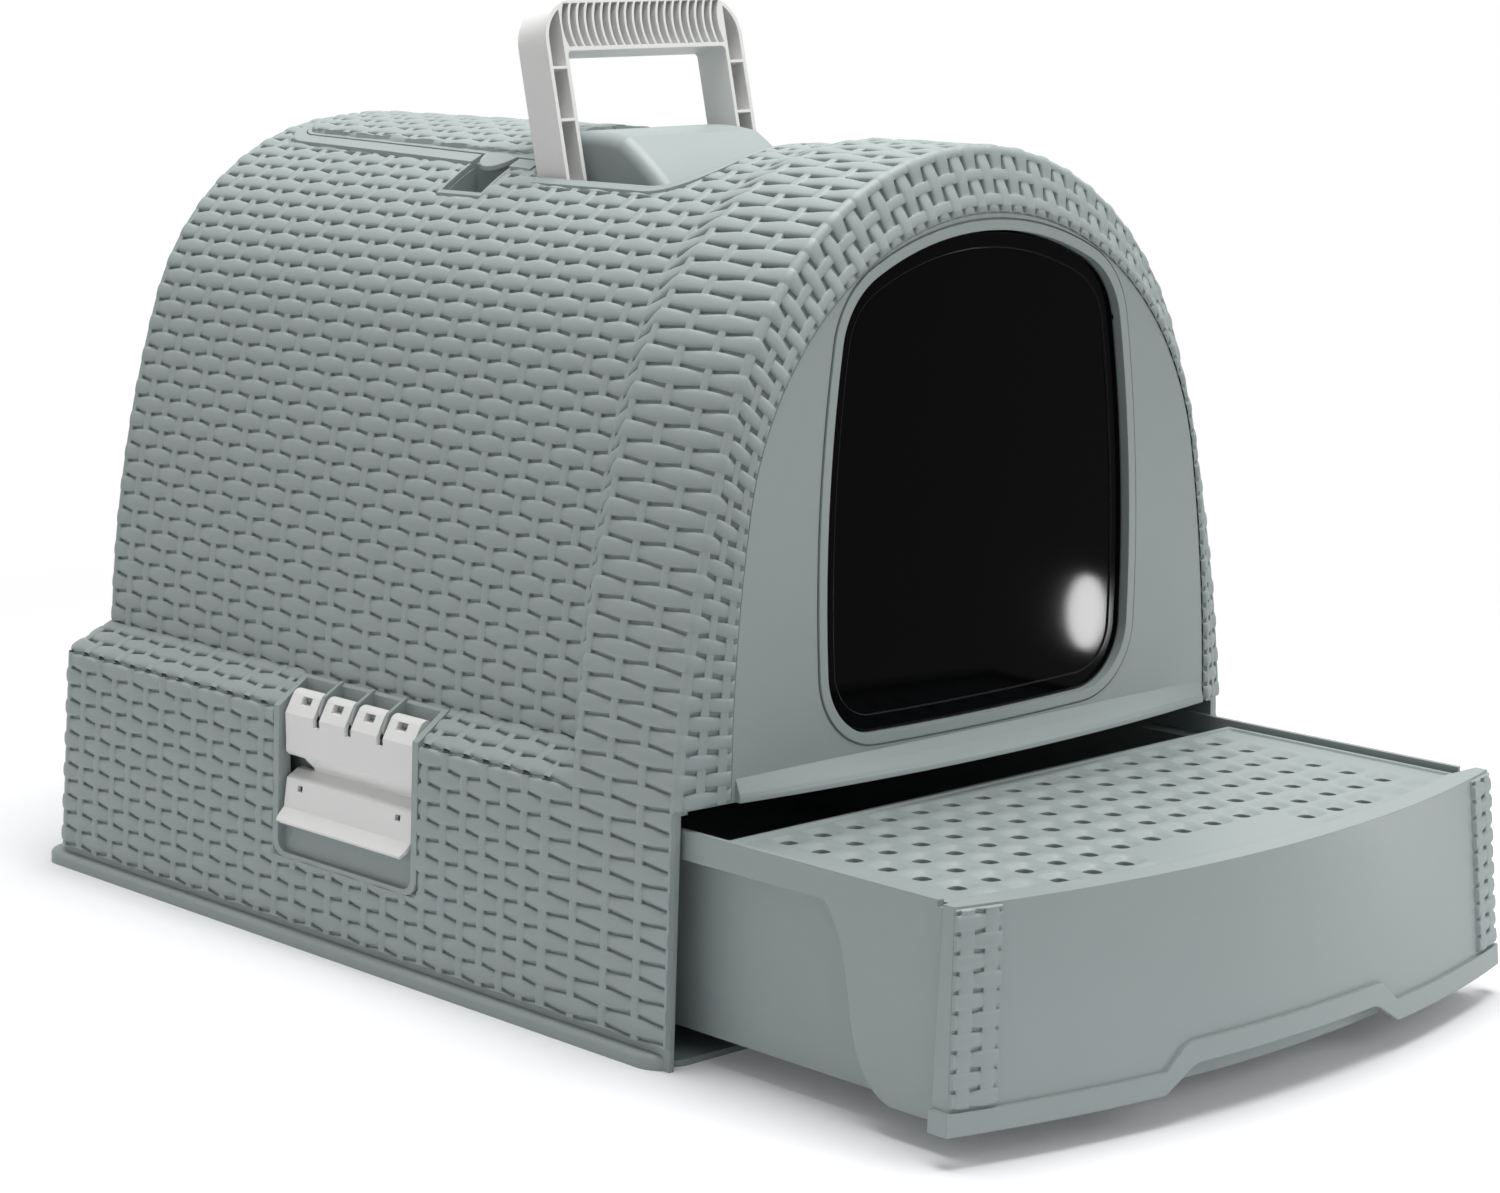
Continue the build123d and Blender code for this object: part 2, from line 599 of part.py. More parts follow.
def hood_shell():
    """The hood moulding."""
    front_cut = block(-OVERRUN, OVERRUN, -OVERRUN, SKIRT_FRONT_Y, -LAP, SKIRT_TOP_Z)
    outside = hood_volume(0.0)
    woven = outside + skirt_ribs() + barrel_ribs()
    outside = outside - front_cut
    flange = plan_slab(0, FLANGE_HEIGHT, plan_rect(FLANGE_HALF, SKIRT_FRONT_Y, FLANGE_REAR_Y, FLANGE_CORNER_R))
    flange = fillet(flange.edges().group_by(Axis.Z)[-1], FLANGE_EDGE_R)
    shell = woven - front_cut + flange - hood_volume(WALL)
    shell = shell - slab(HOOP_REAR_Y, -OVERRUN, panel_arch())
    shell = shell - block(-PANEL_BASE_HALF, PANEL_BASE_HALF, -OVERRUN, SKIRT_FRONT_Y + WALL, -LAP, PANEL_BASE_Z)

    tub = plan_slab(RECESS_FLOOR_Z - WALL, OVERRUN, recess_plan(WALL)) & slab(0, FLARE_REAR_Y, barrel_arch())
    rim = crown_layer(recess_plan(RECESS_RIM_WIDTH), -LAP, RECESS_RIM_RISE)
    border = crown_layer(lid_plan(LID_BORDER + LID_GAP), -LAP, LID_TOP - SEAT_GAP)
    shell = shell + tub + rim + border
    shell = shell - plan_slab(RECESS_FLOOR_Z, OVERRUN, recess_plan())
    pockets = [pocket(), mirrored(pocket())]
    wells = [pocket_well(), mirrored(pocket_well())]
    shell = shell + pockets
    shell = shell - wells
    shell = shell - crown_layer(lid_plan(LID_GAP), 0, 3 * LID_TOP)
    shell = shell - plan_slab(SHOULDER_TOP_Z, OVERRUN, lid_plan(-LID_LEDGE))
    shell = shell + bump() - bump(WALL)

    for flip in (False, True):
        cup = clip_room(CLIP_RECESS_WIDTH + 2 * WALL, CLIP_TUB_SHARES, CLIP_RECESS_R + WALL) & outside
        frame = clip_room(CLIP_RECESS_WIDTH + 2 * CLIP_FRAME, CLIP_TUB_SHARES, CLIP_FRAME_R)
        frame = (frame & hood_skin(CLIP_FRAME_RISE)) - outside
        void = clip_room(CLIP_RECESS_WIDTH, CLIP_VOID_SHARES, CLIP_RECESS_R)
        ribs = clip_ribs()
        if flip:
            cup, frame, void = mirrored(cup), mirrored(frame), mirrored(void)
            ribs = [mirrored(rib) for rib in ribs]
        shell = shell + cup + frame - void
        for rib in ribs:
            shell = shell + rib
        rod = clip_rod(CLIP_ROD_R, CLIP_RECESS_WIDTH + 2 * LAP)
        shell = shell - (mirrored(rod) if flip else rod)

    lean = Pos(0, HANDLE_AXIS_Y, HANDLE_AXIS_Z) * Rot(0, 90, 0)
    shell = shell - lean * Cylinder(HANDLE_PIN_R + PIN_PLAY, 2 * (RECESS_HALF + 2 * WALL))
    for side in (1, -1):
        x_in, x_out = sorted((side * (HANDLE_HALF - STOP_WIDTH), side * (RECESS_HALF + LAP)))
        stop_y = HANDLE_AXIS_Y + HANDLE_DEPTH / 2 + STOP_GAP
        stop_top = HANDLE_AXIS_Z + STOP_RISE
        shell = shell + block(x_in, x_out, stop_y, RECESS_REAR_Y + LAP, RECESS_FLOOR_Z - LAP, stop_top)
    return shell


def hood_skin(rise):
    """The skirt and shoulder region of the hood, grown outwards."""
    lift = SLOPE_INSET_SHARE * rise
    levels = [(0, SKIRT_FOOT_HALF), (SKIRT_TOP_Z + lift, SKIRT_TOP_HALF),
              (SHOULDER_TOP_Z + lift, SHOULDER_TOP_HALF)]
    faces = []
    for z, half in levels:
        plan = plan_rect(half + rise, HOOP_REAR_Y, SKIRT_REAR_TOP_Y, SKIRT_CORNER_R)
        faces.append(Plane.XY.offset(z) * plan)
    return loft(faces[:2], ruled=True) + loft(faces[1:], ruled=True)


# Front panel and flap


def door_outline(grow=0.0):
    """The doorway: four wide arcs, as the overlap of four discs, with rounded corners."""
    side = Circle(DOOR_SIDE_ARC + grow)
    face = Pos(0, DOOR_TOP_Z - DOOR_TOP_ARC) * Circle(DOOR_TOP_ARC + grow)
    face = face & Pos(0, DOOR_BOTTOM_Z + DOOR_BOTTOM_ARC) * Circle(DOOR_BOTTOM_ARC + grow)
    for hand in (1, -1):
        face = face & Pos(hand * (DOOR_HALF - DOOR_SIDE_ARC), DOOR_SIDE_Z) * side
    face = fillet(face.vertices().group_by(Axis.Y)[-1], DOOR_TOP_R + grow)
    return fillet(face.vertices().group_by(Axis.Y)[0], DOOR_FOOT_R + grow)


def bowed_plan(half, corner_y, bow, rear_y):
    """A plan outline with straight sides and rear, and its front bowed out."""
    return make_face([ThreePointArc((-half, corner_y), (0, corner_y - bow), (half, corner_y)),
                      Line((half, corner_y), (half, rear_y)), Line((half, rear_y), (-half, rear_y)),
                      Line((-half, rear_y), (-half, corner_y))])


def panel_swell(inset):
    """The soft swell along the panel's lower edge, or with an inset the hollow inside it."""
    rear = PANEL_Y + PANEL_THICK + inset
    levels = []
    for share, rise in SWELL_SHARES:
        z = PANEL_BASE_Z + (SWELL_HEIGHT - inset) * rise
        if rise == 0.0:
            z = z - SWELL_FOOT_SHARE * inset
        corner = PANEL_Y - SWELL_CORNER * share + inset
        bow = (SWELL_DEPTH - SWELL_CORNER) * share + SWELL_PROUD
        face = bowed_plan(PANEL_BASE_HALF - WALL - inset, corner, bow, rear)
        levels.append(Plane.XY.offset(z) * face)
    return loft(levels, ruled=True)


def front_panel():
    """The smooth door panel: plate, seat behind the woven band, doorway lip, ring and lower swell."""
    fit = SEAT_GAP / 2
    seat_front = PANEL_Y + PANEL_SEAT_STEP
    seat_rear = seat_front + WALL
    hollow = slab(seat_rear + LAP, PANEL_Y + PANEL_THICK, panel_arch(PANEL_WEB))
    plate = slab(seat_rear, PANEL_Y, panel_arch(fit)) - hollow
    seat = slab(seat_rear, seat_front, panel_arch(-PANEL_SEAT)) - hollow
    seat = seat - block(-OVERRUN, OVERRUN, -OVERRUN, OVERRUN, 0, PANEL_BASE_Z + PANEL_WEB)
    lip = slab(PANEL_Y + DOOR_LIP_DEPTH, PANEL_Y, door_outline(WALL))
    ring = slab(PANEL_Y + LAP, PANEL_Y - RING_RISE, door_outline(RING_WIDTH))
    trench = door_outline(RING_WIDTH + GROOVE_WIDTH) - door_outline(RING_WIDTH)
    panel = plate + seat + lip + panel_swell(0.0) - panel_swell(PANEL_THICK) + ring
    panel = panel - slab(PANEL_Y + GROOVE_DEPTH, PANEL_Y - RING_RISE - LAP, trench)
    panel = panel - slab(PANEL_Y + 2 * DOOR_LIP_DEPTH, PANEL_Y - 2 * SWELL_DEPTH, door_outline())
    return panel - flap_axle(FLAP_PIN_R + PIN_PLAY, 2 * DOOR_HALF)


def flap_axle(radius, length):
    """A rod on the flap's axis."""
    return Pos(0, FLAP_AXIS_Y, FLAP_AXIS_Z) * Rot(0, 90, 0) * Cylinder(radius, length)


def flap():
    """The smoked swing door with a raised rim and two stub pins."""
    front = FLAP_AXIS_Y - FLAP_THICK / 2
    rear = FLAP_AXIS_Y + FLAP_THICK / 2
    plate = slab(rear, front, door_outline(-FLAP_GAP))
    pane = door_outline(-FLAP_GAP - FLAP_RIM)
    plate = plate - slab(front + FLAP_STEP, front - LAP, pane) - slab(rear + LAP, rear - FLAP_STEP, pane)
    between = block(-FLAP_PIN_ROOT, FLAP_PIN_ROOT, -OVERRUN, OVERRUN, 0, OVERRUN)
    return plate + (flap_axle(FLAP_PIN_R, 2 * FLAP_PIN_REACH) - between)


# Handle


def handle_outline(inset=0.0):
    """Outer outline of the handle, upright, with its pivot at the origin."""
    half = HANDLE_HALF - inset
    low, high = -HANDLE_DEPTH / 2, HANDLE_HEIGHT - inset
    face = Pos(0, (low + high) / 2) * Rectangle(2 * half, high - low)
    return fillet(face.vertices().group_by(Axis.Y)[-1], HANDLE_CORNER_R - inset)


def grip_slot(x, width, low, high):
    """One slot between the bowed fins of the grip."""
    mid = (low + high) / 2
    right = x + width
    return make_face([ThreePointArc((x, low), (x - HANDLE_FIN_BOW, mid), (x, high)),
                      Line((x, high), (right, high)),
                      ThreePointArc((right, high), (right - HANDLE_FIN_BOW, mid), (right, low)),
                      Line((right, low), (x, low))])


def carry_handle():
    """The U handle: a channel open to the front, finned in the grip and ribbed in the legs."""
    inner = HANDLE_HALF - HANDLE_LEG
    low, high = -HANDLE_DEPTH, HANDLE_HEIGHT - HANDLE_GRIP
    window = Pos(0, (low + high) / 2) * Rectangle(2 * inner, high - low)
    window = fillet(window.vertices().group_by(Axis.Y)[-1], HANDLE_WALL)
    half_depth = HANDLE_DEPTH / 2
    body = slab(half_depth, -half_depth, handle_outline() - window)
    leg = Pos(0, HANDLE_HEIGHT / 2 + LAP) * Rectangle(HANDLE_DEPTH, HANDLE_HEIGHT + 2 * LAP)
    legs = Circle(half_depth) + leg
    body = body & side_slab(0, 4 * HANDLE_HALF, legs)

    slot_low, slot_high = high + HANDLE_WALL, HANDLE_HEIGHT - HANDLE_WALL
    pitch = 2 * inner / HANDLE_SLOTS
    cells = [grip_slot(-inner + pitch * i + HANDLE_FIN, pitch - HANDLE_FIN, slot_low, slot_high)
             for i in range(HANDLE_SLOTS)]
    cores = [slab(half_depth - HANDLE_WALL, -HANDLE_DEPTH, cell) for cell in cells]
    floors = (-half_depth + 2 * HANDLE_WALL,) + tuple(h + HANDLE_FIN / 2 for h in HANDLE_RIBS)
    ceilings = tuple(h - HANDLE_FIN / 2 for h in HANDLE_RIBS) + (HANDLE_HEIGHT,)
    leg_mid = HANDLE_HALF - HANDLE_LEG / 2
    leg_bore = HANDLE_LEG - 2 * HANDLE_WALL
    core = slab(half_depth - HANDLE_WALL, -HANDLE_DEPTH, handle_outline(HANDLE_WALL))
    for side in (1, -1):
        for floor, ceiling in zip(floors, ceilings):
            x0, x1 = side * leg_mid - leg_bore / 2, side * leg_mid + leg_bore / 2
            cores.append(core & block(x0, x1, -OVERRUN, OVERRUN, floor, ceiling))
    body = body - cores
    reach = RECESS_HALF + WALL - HANDLE_PIN_SHORT
    pins = Rot(0, 90, 0) * Cylinder(HANDLE_PIN_R, 2 * reach)
    body = body + (pins - block(-leg_mid, leg_mid, -OVERRUN, OVERRUN, -OVERRUN, OVERRUN))
    return Pos(0, HANDLE_AXIS_Y, HANDLE_AXIS_Z) * Rot(-HANDLE_LEAN, 0, 0) * body


# Lid and filter


def top_lid():
    """The lid in the crown, with a finger tab over each pocket."""
    lid = crown_layer(lid_plan(), LID_BOTTOM, LID_TOP)
    tab_y = (POCKET_FRONT_Y + POCKET_REAR_Y) / 2
    for side in (1, -1):
        tab = Pos(side * (LID_FRONT_HALF - TAB_INSET), tab_y) * Circle(TAB_R)
        lid = lid + crown_layer(tab, LID_BOTTOM, LID_TOP)
    return lid


def filter_tray():
    """The slotted tray that hangs in the opening under the lid."""
    wall_out = -LID_LEDGE - SEAT_GAP
    wall_in = wall_out - FILTER_WALL
    flange_plan = lid_plan(-FILTER_FLANGE) - lid_plan(wall_in)
    flange = crown_layer(flange_plan, FILTER_LIFT, FILTER_FLANGE)
    wall_plan = lid_plan(wall_out) - lid_plan(wall_in)
    roof = slab(BARREL_REAR_Y, FLARE_REAR_Y, barrel_arch(-FILTER_FLANGE))
    wall = plan_slab(FILTER_FLOOR_Z, OVERRUN, wall_plan) & roof
    floor = plan_slab(FILTER_FLOOR_Z - FILTER_WALL, FILTER_FLOOR_Z, lid_plan(wall_out))
    length = LID_REAR_Y - LID_FRONT_Y - 2 * LID_CORNER_R
    pitch = length / FILTER_SLOTS
    first = LID_FRONT_Y + LID_CORNER_R + pitch / 2
    half = LID_REAR_HALF - LID_CORNER_R
    slots = [block(-half, half, first + pitch * i - FILTER_SLOT / 2, first + pitch * i + FILTER_SLOT / 2,
                   FILTER_FLOOR_Z - 2 * FILTER_WALL, FILTER_FLOOR_Z + LAP) for i in range(FILTER_SLOTS)]
    return flange + wall + (floor - slots)


def filter_pad():
    """The odour filter pad lying in its tray."""
    bottom = FILTER_FLOOR_Z + FILTER_LIFT
    return plan_slab(bottom, bottom + FILTER_PAD_THICK, lid_plan(-LID_LEDGE - 2 * FILTER_WALL))


# Clips


def left_clip():
    """The left clip: knuckle fingers, plate, hook channel and pull tab."""
    face_x = CLIP_FACE_X + CLIP_THICK / 2
    hook_x = CLIP_HOOK_X - CLIP_THICK / 2
    lip_x = CLIP_FACE_X - CLIP_LIP_OUT
    lip_z = SKIRT_TOP_Z - CLIP_LIP_DROP
    knuckle_x = CLIP_AXIS_X - CLIP_KNUCKLE_R + CLIP_THICK / 2
    spine = Polyline((knuckle_x, CLIP_AXIS_Z + CLIP_KNUCKLE_RISE), (face_x, CLIP_AXIS_Z - CLIP_BEND_DROP),
                     (face_x, CLIP_PLATE_Z), (hook_x, CLIP_HOOK_TOP), (hook_x, CLIP_HOOK_FOOT),
                     (face_x, CLIP_TAB_Z), (face_x - CLIP_THICK, lip_z + CLIP_LIP_BEND), (lip_x, lip_z))
    profile = trace(spine, CLIP_THICK) + Pos(CLIP_AXIS_X, CLIP_AXIS_Z) * Circle(CLIP_KNUCKLE_R)
    clip = clip_slab(CLIP_WIDTH + 2 * LAP, profile) & clip_window(CLIP_WIDTH, lip_z - CLIP_THICK, CLIP_CORNER_R)
    clip = clip - clip_rod(CLIP_ROD_R + PIN_PLAY, 2 * CLIP_WIDTH)
    gap = (CLIP_FINGER_PITCH - CLIP_FINGER_WIDTH) / 2
    cuts = [block(-OVERRUN, 0, y - gap, y + gap, CLIP_SLOT_Z, OVERRUN) for y in clip_rib_places()]
    first = CLIP_MID_Y - CLIP_FINGER_PITCH * (CLIP_FINGERS - 1) / 2
    for i in range(CLIP_FINGERS):
        y = first + CLIP_FINGER_PITCH * i
        cuts.append(block(-OVERRUN, CLIP_AXIS_X - CLIP_ROD_R / 2, y - CLIP_EYE, y + CLIP_EYE,
                          CLIP_AXIS_Z - CLIP_EYE / 2, CLIP_AXIS_Z + CLIP_EYE / 2))
    for side in (1, -1):
        y = CLIP_MID_Y + side * (CLIP_WIDTH / 2 - 3 * CLIP_EYE)
        eye_top = CLIP_TAB_Z - CLIP_TAB_EYE_DROP
        cuts.append(block(-OVERRUN, CLIP_FACE_X + 3 * CLIP_THICK, y - CLIP_EYE / 2, y + CLIP_EYE / 2,
                          eye_top - CLIP_TAB_EYE_HEIGHT, eye_top))
    rear = CLIP_MID_Y + CLIP_WIDTH / 2
    cuts.append(block(-OVERRUN, 0, rear - CLIP_NOTCH, rear + LAP, CLIP_HOOK_FOOT, CLIP_PLATE_Z - CLIP_THICK))
    return clip - cuts


def left_clip_rod():
    """The rod that the left clip turns on."""
    return clip_rod(CLIP_ROD_R, CLIP_RECESS_WIDTH + 2 * LAP)


def right_clip():
    """The right clip."""
    return mirrored(left_clip())


def right_clip_rod():
    """The rod that the right clip turns on."""
    return mirrored(left_clip_rod())


# Base


def base_pan():
    """The shallow base: floor, side and rear walls, hook ledges and stiffening runners."""
    floor = plan_slab(0, BASE_FLOOR, plan_rect(BASE_HALF, BASE_FRONT_Y, BASE_FLOOR_REAR_Y, BASE_CORNER_R))
    thick = BASE_WALL_THICK
    tip = BASE_WALL_FRONT_Y - BASE_NOSE
    pan = floor + block(-BASE_WALL_OUT, BASE_WALL_OUT, BASE_REAR_Y - thick, BASE_REAR_Y, 0, BASE_WALL_TOP)
    nose = make_face([Line((BASE_WALL_FRONT_Y, BASE_WALL_TOP), (BASE_REAR_Y, BASE_WALL_TOP)),
                      Line((BASE_REAR_Y, BASE_WALL_TOP), (BASE_REAR_Y, 0)),
                      Line((BASE_REAR_Y, 0), (tip, 0)),
                      ThreePointArc((tip, 0), (BASE_WALL_FRONT_Y - BASE_NOSE / 4, BASE_NOSE),
                                    (BASE_WALL_FRONT_Y, BASE_WALL_TOP))])
    for side in (1, -1):
        pan = pan + side_slab(side * (BASE_WALL_OUT + BASE_WALL_IN) / 2, thick, nose)
        x0, x1 = sorted((side * BASE_WALL_IN, side * BASE_LEDGE_OUT))
        ledge_foot = BASE_WALL_TOP - BASE_LEDGE_THICK
        pan = pan + block(x0, x1, BASE_WALL_FRONT_Y, BASE_REAR_Y, ledge_foot, BASE_WALL_TOP)
    for x in BASE_RUNNERS:
        pan = pan + block(x - WALL, x + WALL, BASE_FRONT_Y + BASE_RUNNER_SETBACK, BASE_REAR_Y - thick,
                          0, DRAWER_FLOOR_Z - SEAT_GAP)
    return pan


# Drawer


def fascia_radius():
    """Radius of the drawer front's bow at its top edge."""
    return (FASCIA_TOP_HALF ** 2 + FASCIA_BULGE ** 2) / (2 * FASCIA_BULGE)


def bow_y(x, inset=0.0):
    """Depth of the drawer front's bow at x, or of a line that runs parallel inside it."""
    radius = fascia_radius()
    nose = FASCIA_CORNER_CLOSED_Y - DRAWER_OUT - FASCIA_BULGE
    return nose + radius - ((radius - inset) ** 2 - x ** 2) ** 0.5


def drawer_plan(half, inset, rear_y):
    """A drawer outline in plan, its front parallel to the drawer front's bow."""
    corner = bow_y(half, inset)
    return bowed_plan(half, corner, corner - bow_y(0, inset), rear_y)


def wing_face(shift=0.0):
    """YZ outline of the full-width front of the tray, behind the fascia."""
    nose = bow_y(0)
    points = [(nose + WING_LENGTH * along - shift, DRAWER_FLOOR_Z + WING_HEIGHT * high)
              for along, high in WING_SHARES]
    front = nose - WALL
    top, foot = points[0], points[-1]
    return make_face([Spline(*points), Line(foot, (front, foot[1])),
                      Line((front, foot[1]), (front, top[1])), Line((front, top[1]), top)])


def fascia_ledge(gap):
    """The fascia's top ledge, or with a gap the room that it needs."""
    rear = bow_y(FASCIA_TOP_HALF, FASCIA_LEDGE + gap)
    outer = drawer_plan(FASCIA_TOP_HALF + gap, -gap, rear)
    inner = drawer_plan(FASCIA_TOP_HALF + 2 * gap, FASCIA_LEDGE + gap, rear + LAP)
    return plan_slab(DRAWER_TOP - WALL - gap, DRAWER_TOP + gap, outer - inner)


def drawer_tray():
    """The litter tray: tub, overhanging rim and full-width front wings."""
    rear = DRAWER_REAR_CLOSED_Y - DRAWER_OUT
    overhang = DRAWER_RIM_HALF - DRAWER_WALL_HALF
    wide_plan = drawer_plan(DRAWER_RIM_HALF, FASCIA_RETURN, rear)
    rim = plan_slab(DRAWER_RIM_BOTTOM, DRAWER_TOP, wide_plan)
    wings = plan_slab(DRAWER_FLOOR_Z, DRAWER_RIM_BOTTOM, wide_plan) & side_slab(0, OVERRUN, wing_face())
    tub_plan = drawer_plan(DRAWER_WALL_HALF, FASCIA_RETURN, rear - overhang / 2)
    tub = plan_slab(DRAWER_FLOOR_Z, DRAWER_RIM_BOTTOM, tub_plan)
    tub = fillet(tub.edges().group_by(Axis.Z)[0].sort_by(Axis.Y)[-1], DRAWER_EDGE_R)
    outer = rim + wings + tub

    inner = FASCIA_RETURN + WALL
    ledge_z = GRID_TOP - GRID_THICK - SEAT_GAP
    floor = DRAWER_FLOOR_Z + WALL
    wide_in = drawer_plan(DRAWER_RIM_HALF - WALL, inner, rear - WALL)
    rim_in = plan_slab(ledge_z, DRAWER_TOP + LAP, wide_in)
    wings_in = plan_slab(floor, DRAWER_RIM_BOTTOM, wide_in) & side_slab(0, OVERRUN, wing_face(WALL))
    tub_in = drawer_plan(DRAWER_WALL_HALF - WALL, inner + GRID_LEDGE, rear - overhang / 2 - WALL)
    return outer - rim_in - wings_in - plan_slab(floor, DRAWER_TOP, tub_in) - fascia_ledge(SEAT_GAP)


def fascia_volume(inset, low, high):
    """The bowed, drafted drawer front as a solid, between two heights."""
    levels = []
    for z in (low, high):
        share = (DRAWER_TOP - z) / (DRAWER_TOP - DRAWER_FLOOR_Z)
        half = FASCIA_TOP_HALF + (FASCIA_FOOT_HALF - FASCIA_TOP_HALF) * share - inset
        face = drawer_plan(half, inset - FASCIA_FOOT_STEP * share, fascia_rear())
        levels.append(Plane.XY.offset(z) * face)
    return loft(levels, ruled=True)


def fascia_rear():
    """Depth where the drawer front's side returns end."""
    return FASCIA_CORNER_CLOSED_Y - DRAWER_OUT + FASCIA_RETURN


def notch_face(grow):
    """XZ outline of the finger notch under the drawer front."""
    low, high = DRAWER_FLOOR_Z - LIP_HEIGHT, DRAWER_FLOOR_Z + NOTCH_HEIGHT + grow
    wide, narrow = NOTCH_HALF + NOTCH_SLOPE + grow, NOTCH_HALF + grow / 2
    corners = [(-wide, low), (-wide, DRAWER_FLOOR_Z), (-narrow, high),
               (narrow, high), (wide, DRAWER_FLOOR_Z), (wide, low)]
    face = make_face(Polyline(*corners, close=True))
    return fillet(face.vertices().group_by(Axis.Y)[-1], NOTCH_R)


def drawer_fascia():
    """The drawer front: bowed shell with a top ledge, a foot lip and a finger notch."""
    foot = DRAWER_FLOOR_Z
    front = fascia_volume(0.0, foot, DRAWER_TOP)
    hollow = fascia_volume(WALL + SEAT_GAP, foot - LIP_HEIGHT, DRAWER_TOP + LIP_HEIGHT)
    shell = (front - hollow) + (fascia_ledge(0.0) & front)
    strip = Pos(0, foot + LIP_HEIGHT / 2) * Rectangle(OVERRUN, LIP_HEIGHT)
    lip = fascia_volume(-LIP_REACH, foot, foot + 3 * LIP_HEIGHT)
    lip = lip & slab(0, -OVERRUN, strip + notch_face(LIP_HEIGHT))
    return shell + (lip - hollow) - slab(0, -OVERRUN, notch_face(0.0))


def grid_plan(inset=0.0):
    """Plan of the step grid, or of a line that runs parallel inside its edge."""
    return drawer_plan(GRID_HALF - inset, FASCIA_LEDGE + 2 * SEAT_GAP + inset, GRID_REAR_Y - inset)


def step_grid():
    """The perforated step: square dimples with a hole in each, blind where the front edge cuts them."""
    floor_z = GRID_TOP - GRID_THICK
    plate = plan_slab(floor_z, GRID_TOP, grid_plan())
    bead = plan_slab(GRID_TOP, GRID_TOP + GRID_BEAD / 2, grid_plan() - grid_plan(GRID_BEAD))
    half = GRID_DIMPLE / 2
    dish_z = GRID_TOP - GRID_DISH
    funnel = loft([Plane.XY.offset(dish_z) * Rectangle(*GRID_HOLE),
                   Plane.XY.offset(GRID_TOP) * Rectangle(GRID_DIMPLE, GRID_DIMPLE)], ruled=True)
    hole = plan_slab(floor_z - LAP, dish_z + LAP, Rectangle(*GRID_HOLE))
    blind = funnel - Pos(0, 0, dish_z) * Box(GRID_DIMPLE, GRID_DIMPLE, GRID_DISH)
    inside = plan_slab(floor_z, GRID_TOP + LAP, grid_plan(2 * GRID_BEAD))
    edge = FASCIA_LEDGE + 2 * GRID_BEAD
    plate_rear = bow_y(0, edge) + GRID_PLATE[1]
    cuts = []
    for row in range(GRID_ROWS):
        y = GRID_REAR_Y - GRID_FIRST_ROW - GRID_PITCH * row
        for column in range(GRID_COLUMNS):
            x = GRID_PITCH * (column - (GRID_COLUMNS - 1) / 2)
            on_plate = abs(x) < GRID_PLATE[0] / 2 + half / 2 and y < plate_rear + half / 2
            room = y - half - bow_y(x, edge)
            if on_plate or room < -GRID_DIMPLE:
                continue
            if room > 0:
                cuts += [Pos(x, y) * funnel, Pos(x, y) * hole]
            else:
                cuts.append((Pos(x, y) * blind) & inside)
    return plate + bead - [cut for cut in cuts if cut.volume > LAP ** 3]


NODES = {
    "base_pan": base_pan,
    "hood_shell": hood_shell,
    "front_panel": front_panel,
    "flap": flap,
    "carry_handle": carry_handle,
    "top_lid": top_lid,
    "filter_tray": filter_tray,
    "filter_pad": filter_pad,
    "left_clip": left_clip,
    "right_clip": right_clip,
    "left_clip_rod": left_clip_rod,
    "right_clip_rod": right_clip_rod,
    "drawer_tray": drawer_tray,
    "drawer_fascia": drawer_fascia,
    "step_grid": step_grid,
}


def main():
    os.makedirs("parts", exist_ok=True)
    for name, make in NODES.items():
        shape = make()
        export_step(shape, f"parts/{name}.step")
        print(name, len(shape.solids()), round(shape.volume), shape.is_valid)


if __name__ == "__main__":
    main()
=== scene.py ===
"""Hooded litter box: woven relief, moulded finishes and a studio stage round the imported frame."""
import json
from math import atan2, cos, pi, radians, sin

import bmesh
import bpy
import numpy as np
from mathutils import Matrix, Vector


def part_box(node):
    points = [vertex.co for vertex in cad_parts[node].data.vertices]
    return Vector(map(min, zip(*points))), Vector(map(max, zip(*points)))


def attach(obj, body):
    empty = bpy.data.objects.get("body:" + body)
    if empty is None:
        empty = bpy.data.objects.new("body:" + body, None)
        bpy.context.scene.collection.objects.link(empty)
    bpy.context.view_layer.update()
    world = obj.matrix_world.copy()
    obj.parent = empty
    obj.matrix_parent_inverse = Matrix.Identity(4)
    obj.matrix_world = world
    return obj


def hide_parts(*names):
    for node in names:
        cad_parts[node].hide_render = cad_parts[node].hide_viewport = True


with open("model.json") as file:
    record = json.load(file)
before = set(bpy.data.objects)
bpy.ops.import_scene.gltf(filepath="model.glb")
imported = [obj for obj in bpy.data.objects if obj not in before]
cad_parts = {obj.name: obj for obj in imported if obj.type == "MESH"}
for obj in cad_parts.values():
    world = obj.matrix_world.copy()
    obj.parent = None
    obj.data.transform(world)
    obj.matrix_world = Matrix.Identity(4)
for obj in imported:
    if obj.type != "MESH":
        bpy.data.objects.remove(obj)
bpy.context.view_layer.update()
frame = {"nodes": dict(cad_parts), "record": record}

bl_info = {
    "name": "Litter Box",
    "version": (1, 0, 0),
    "blender": (4, 5, 0),
    "location": "View3D > Sidebar > Litter Box",
    "description": "Dresses the hooded litter box: weave, finishes, filter felt and studio stage",
    "category": "Object",
}

MM = 0.001

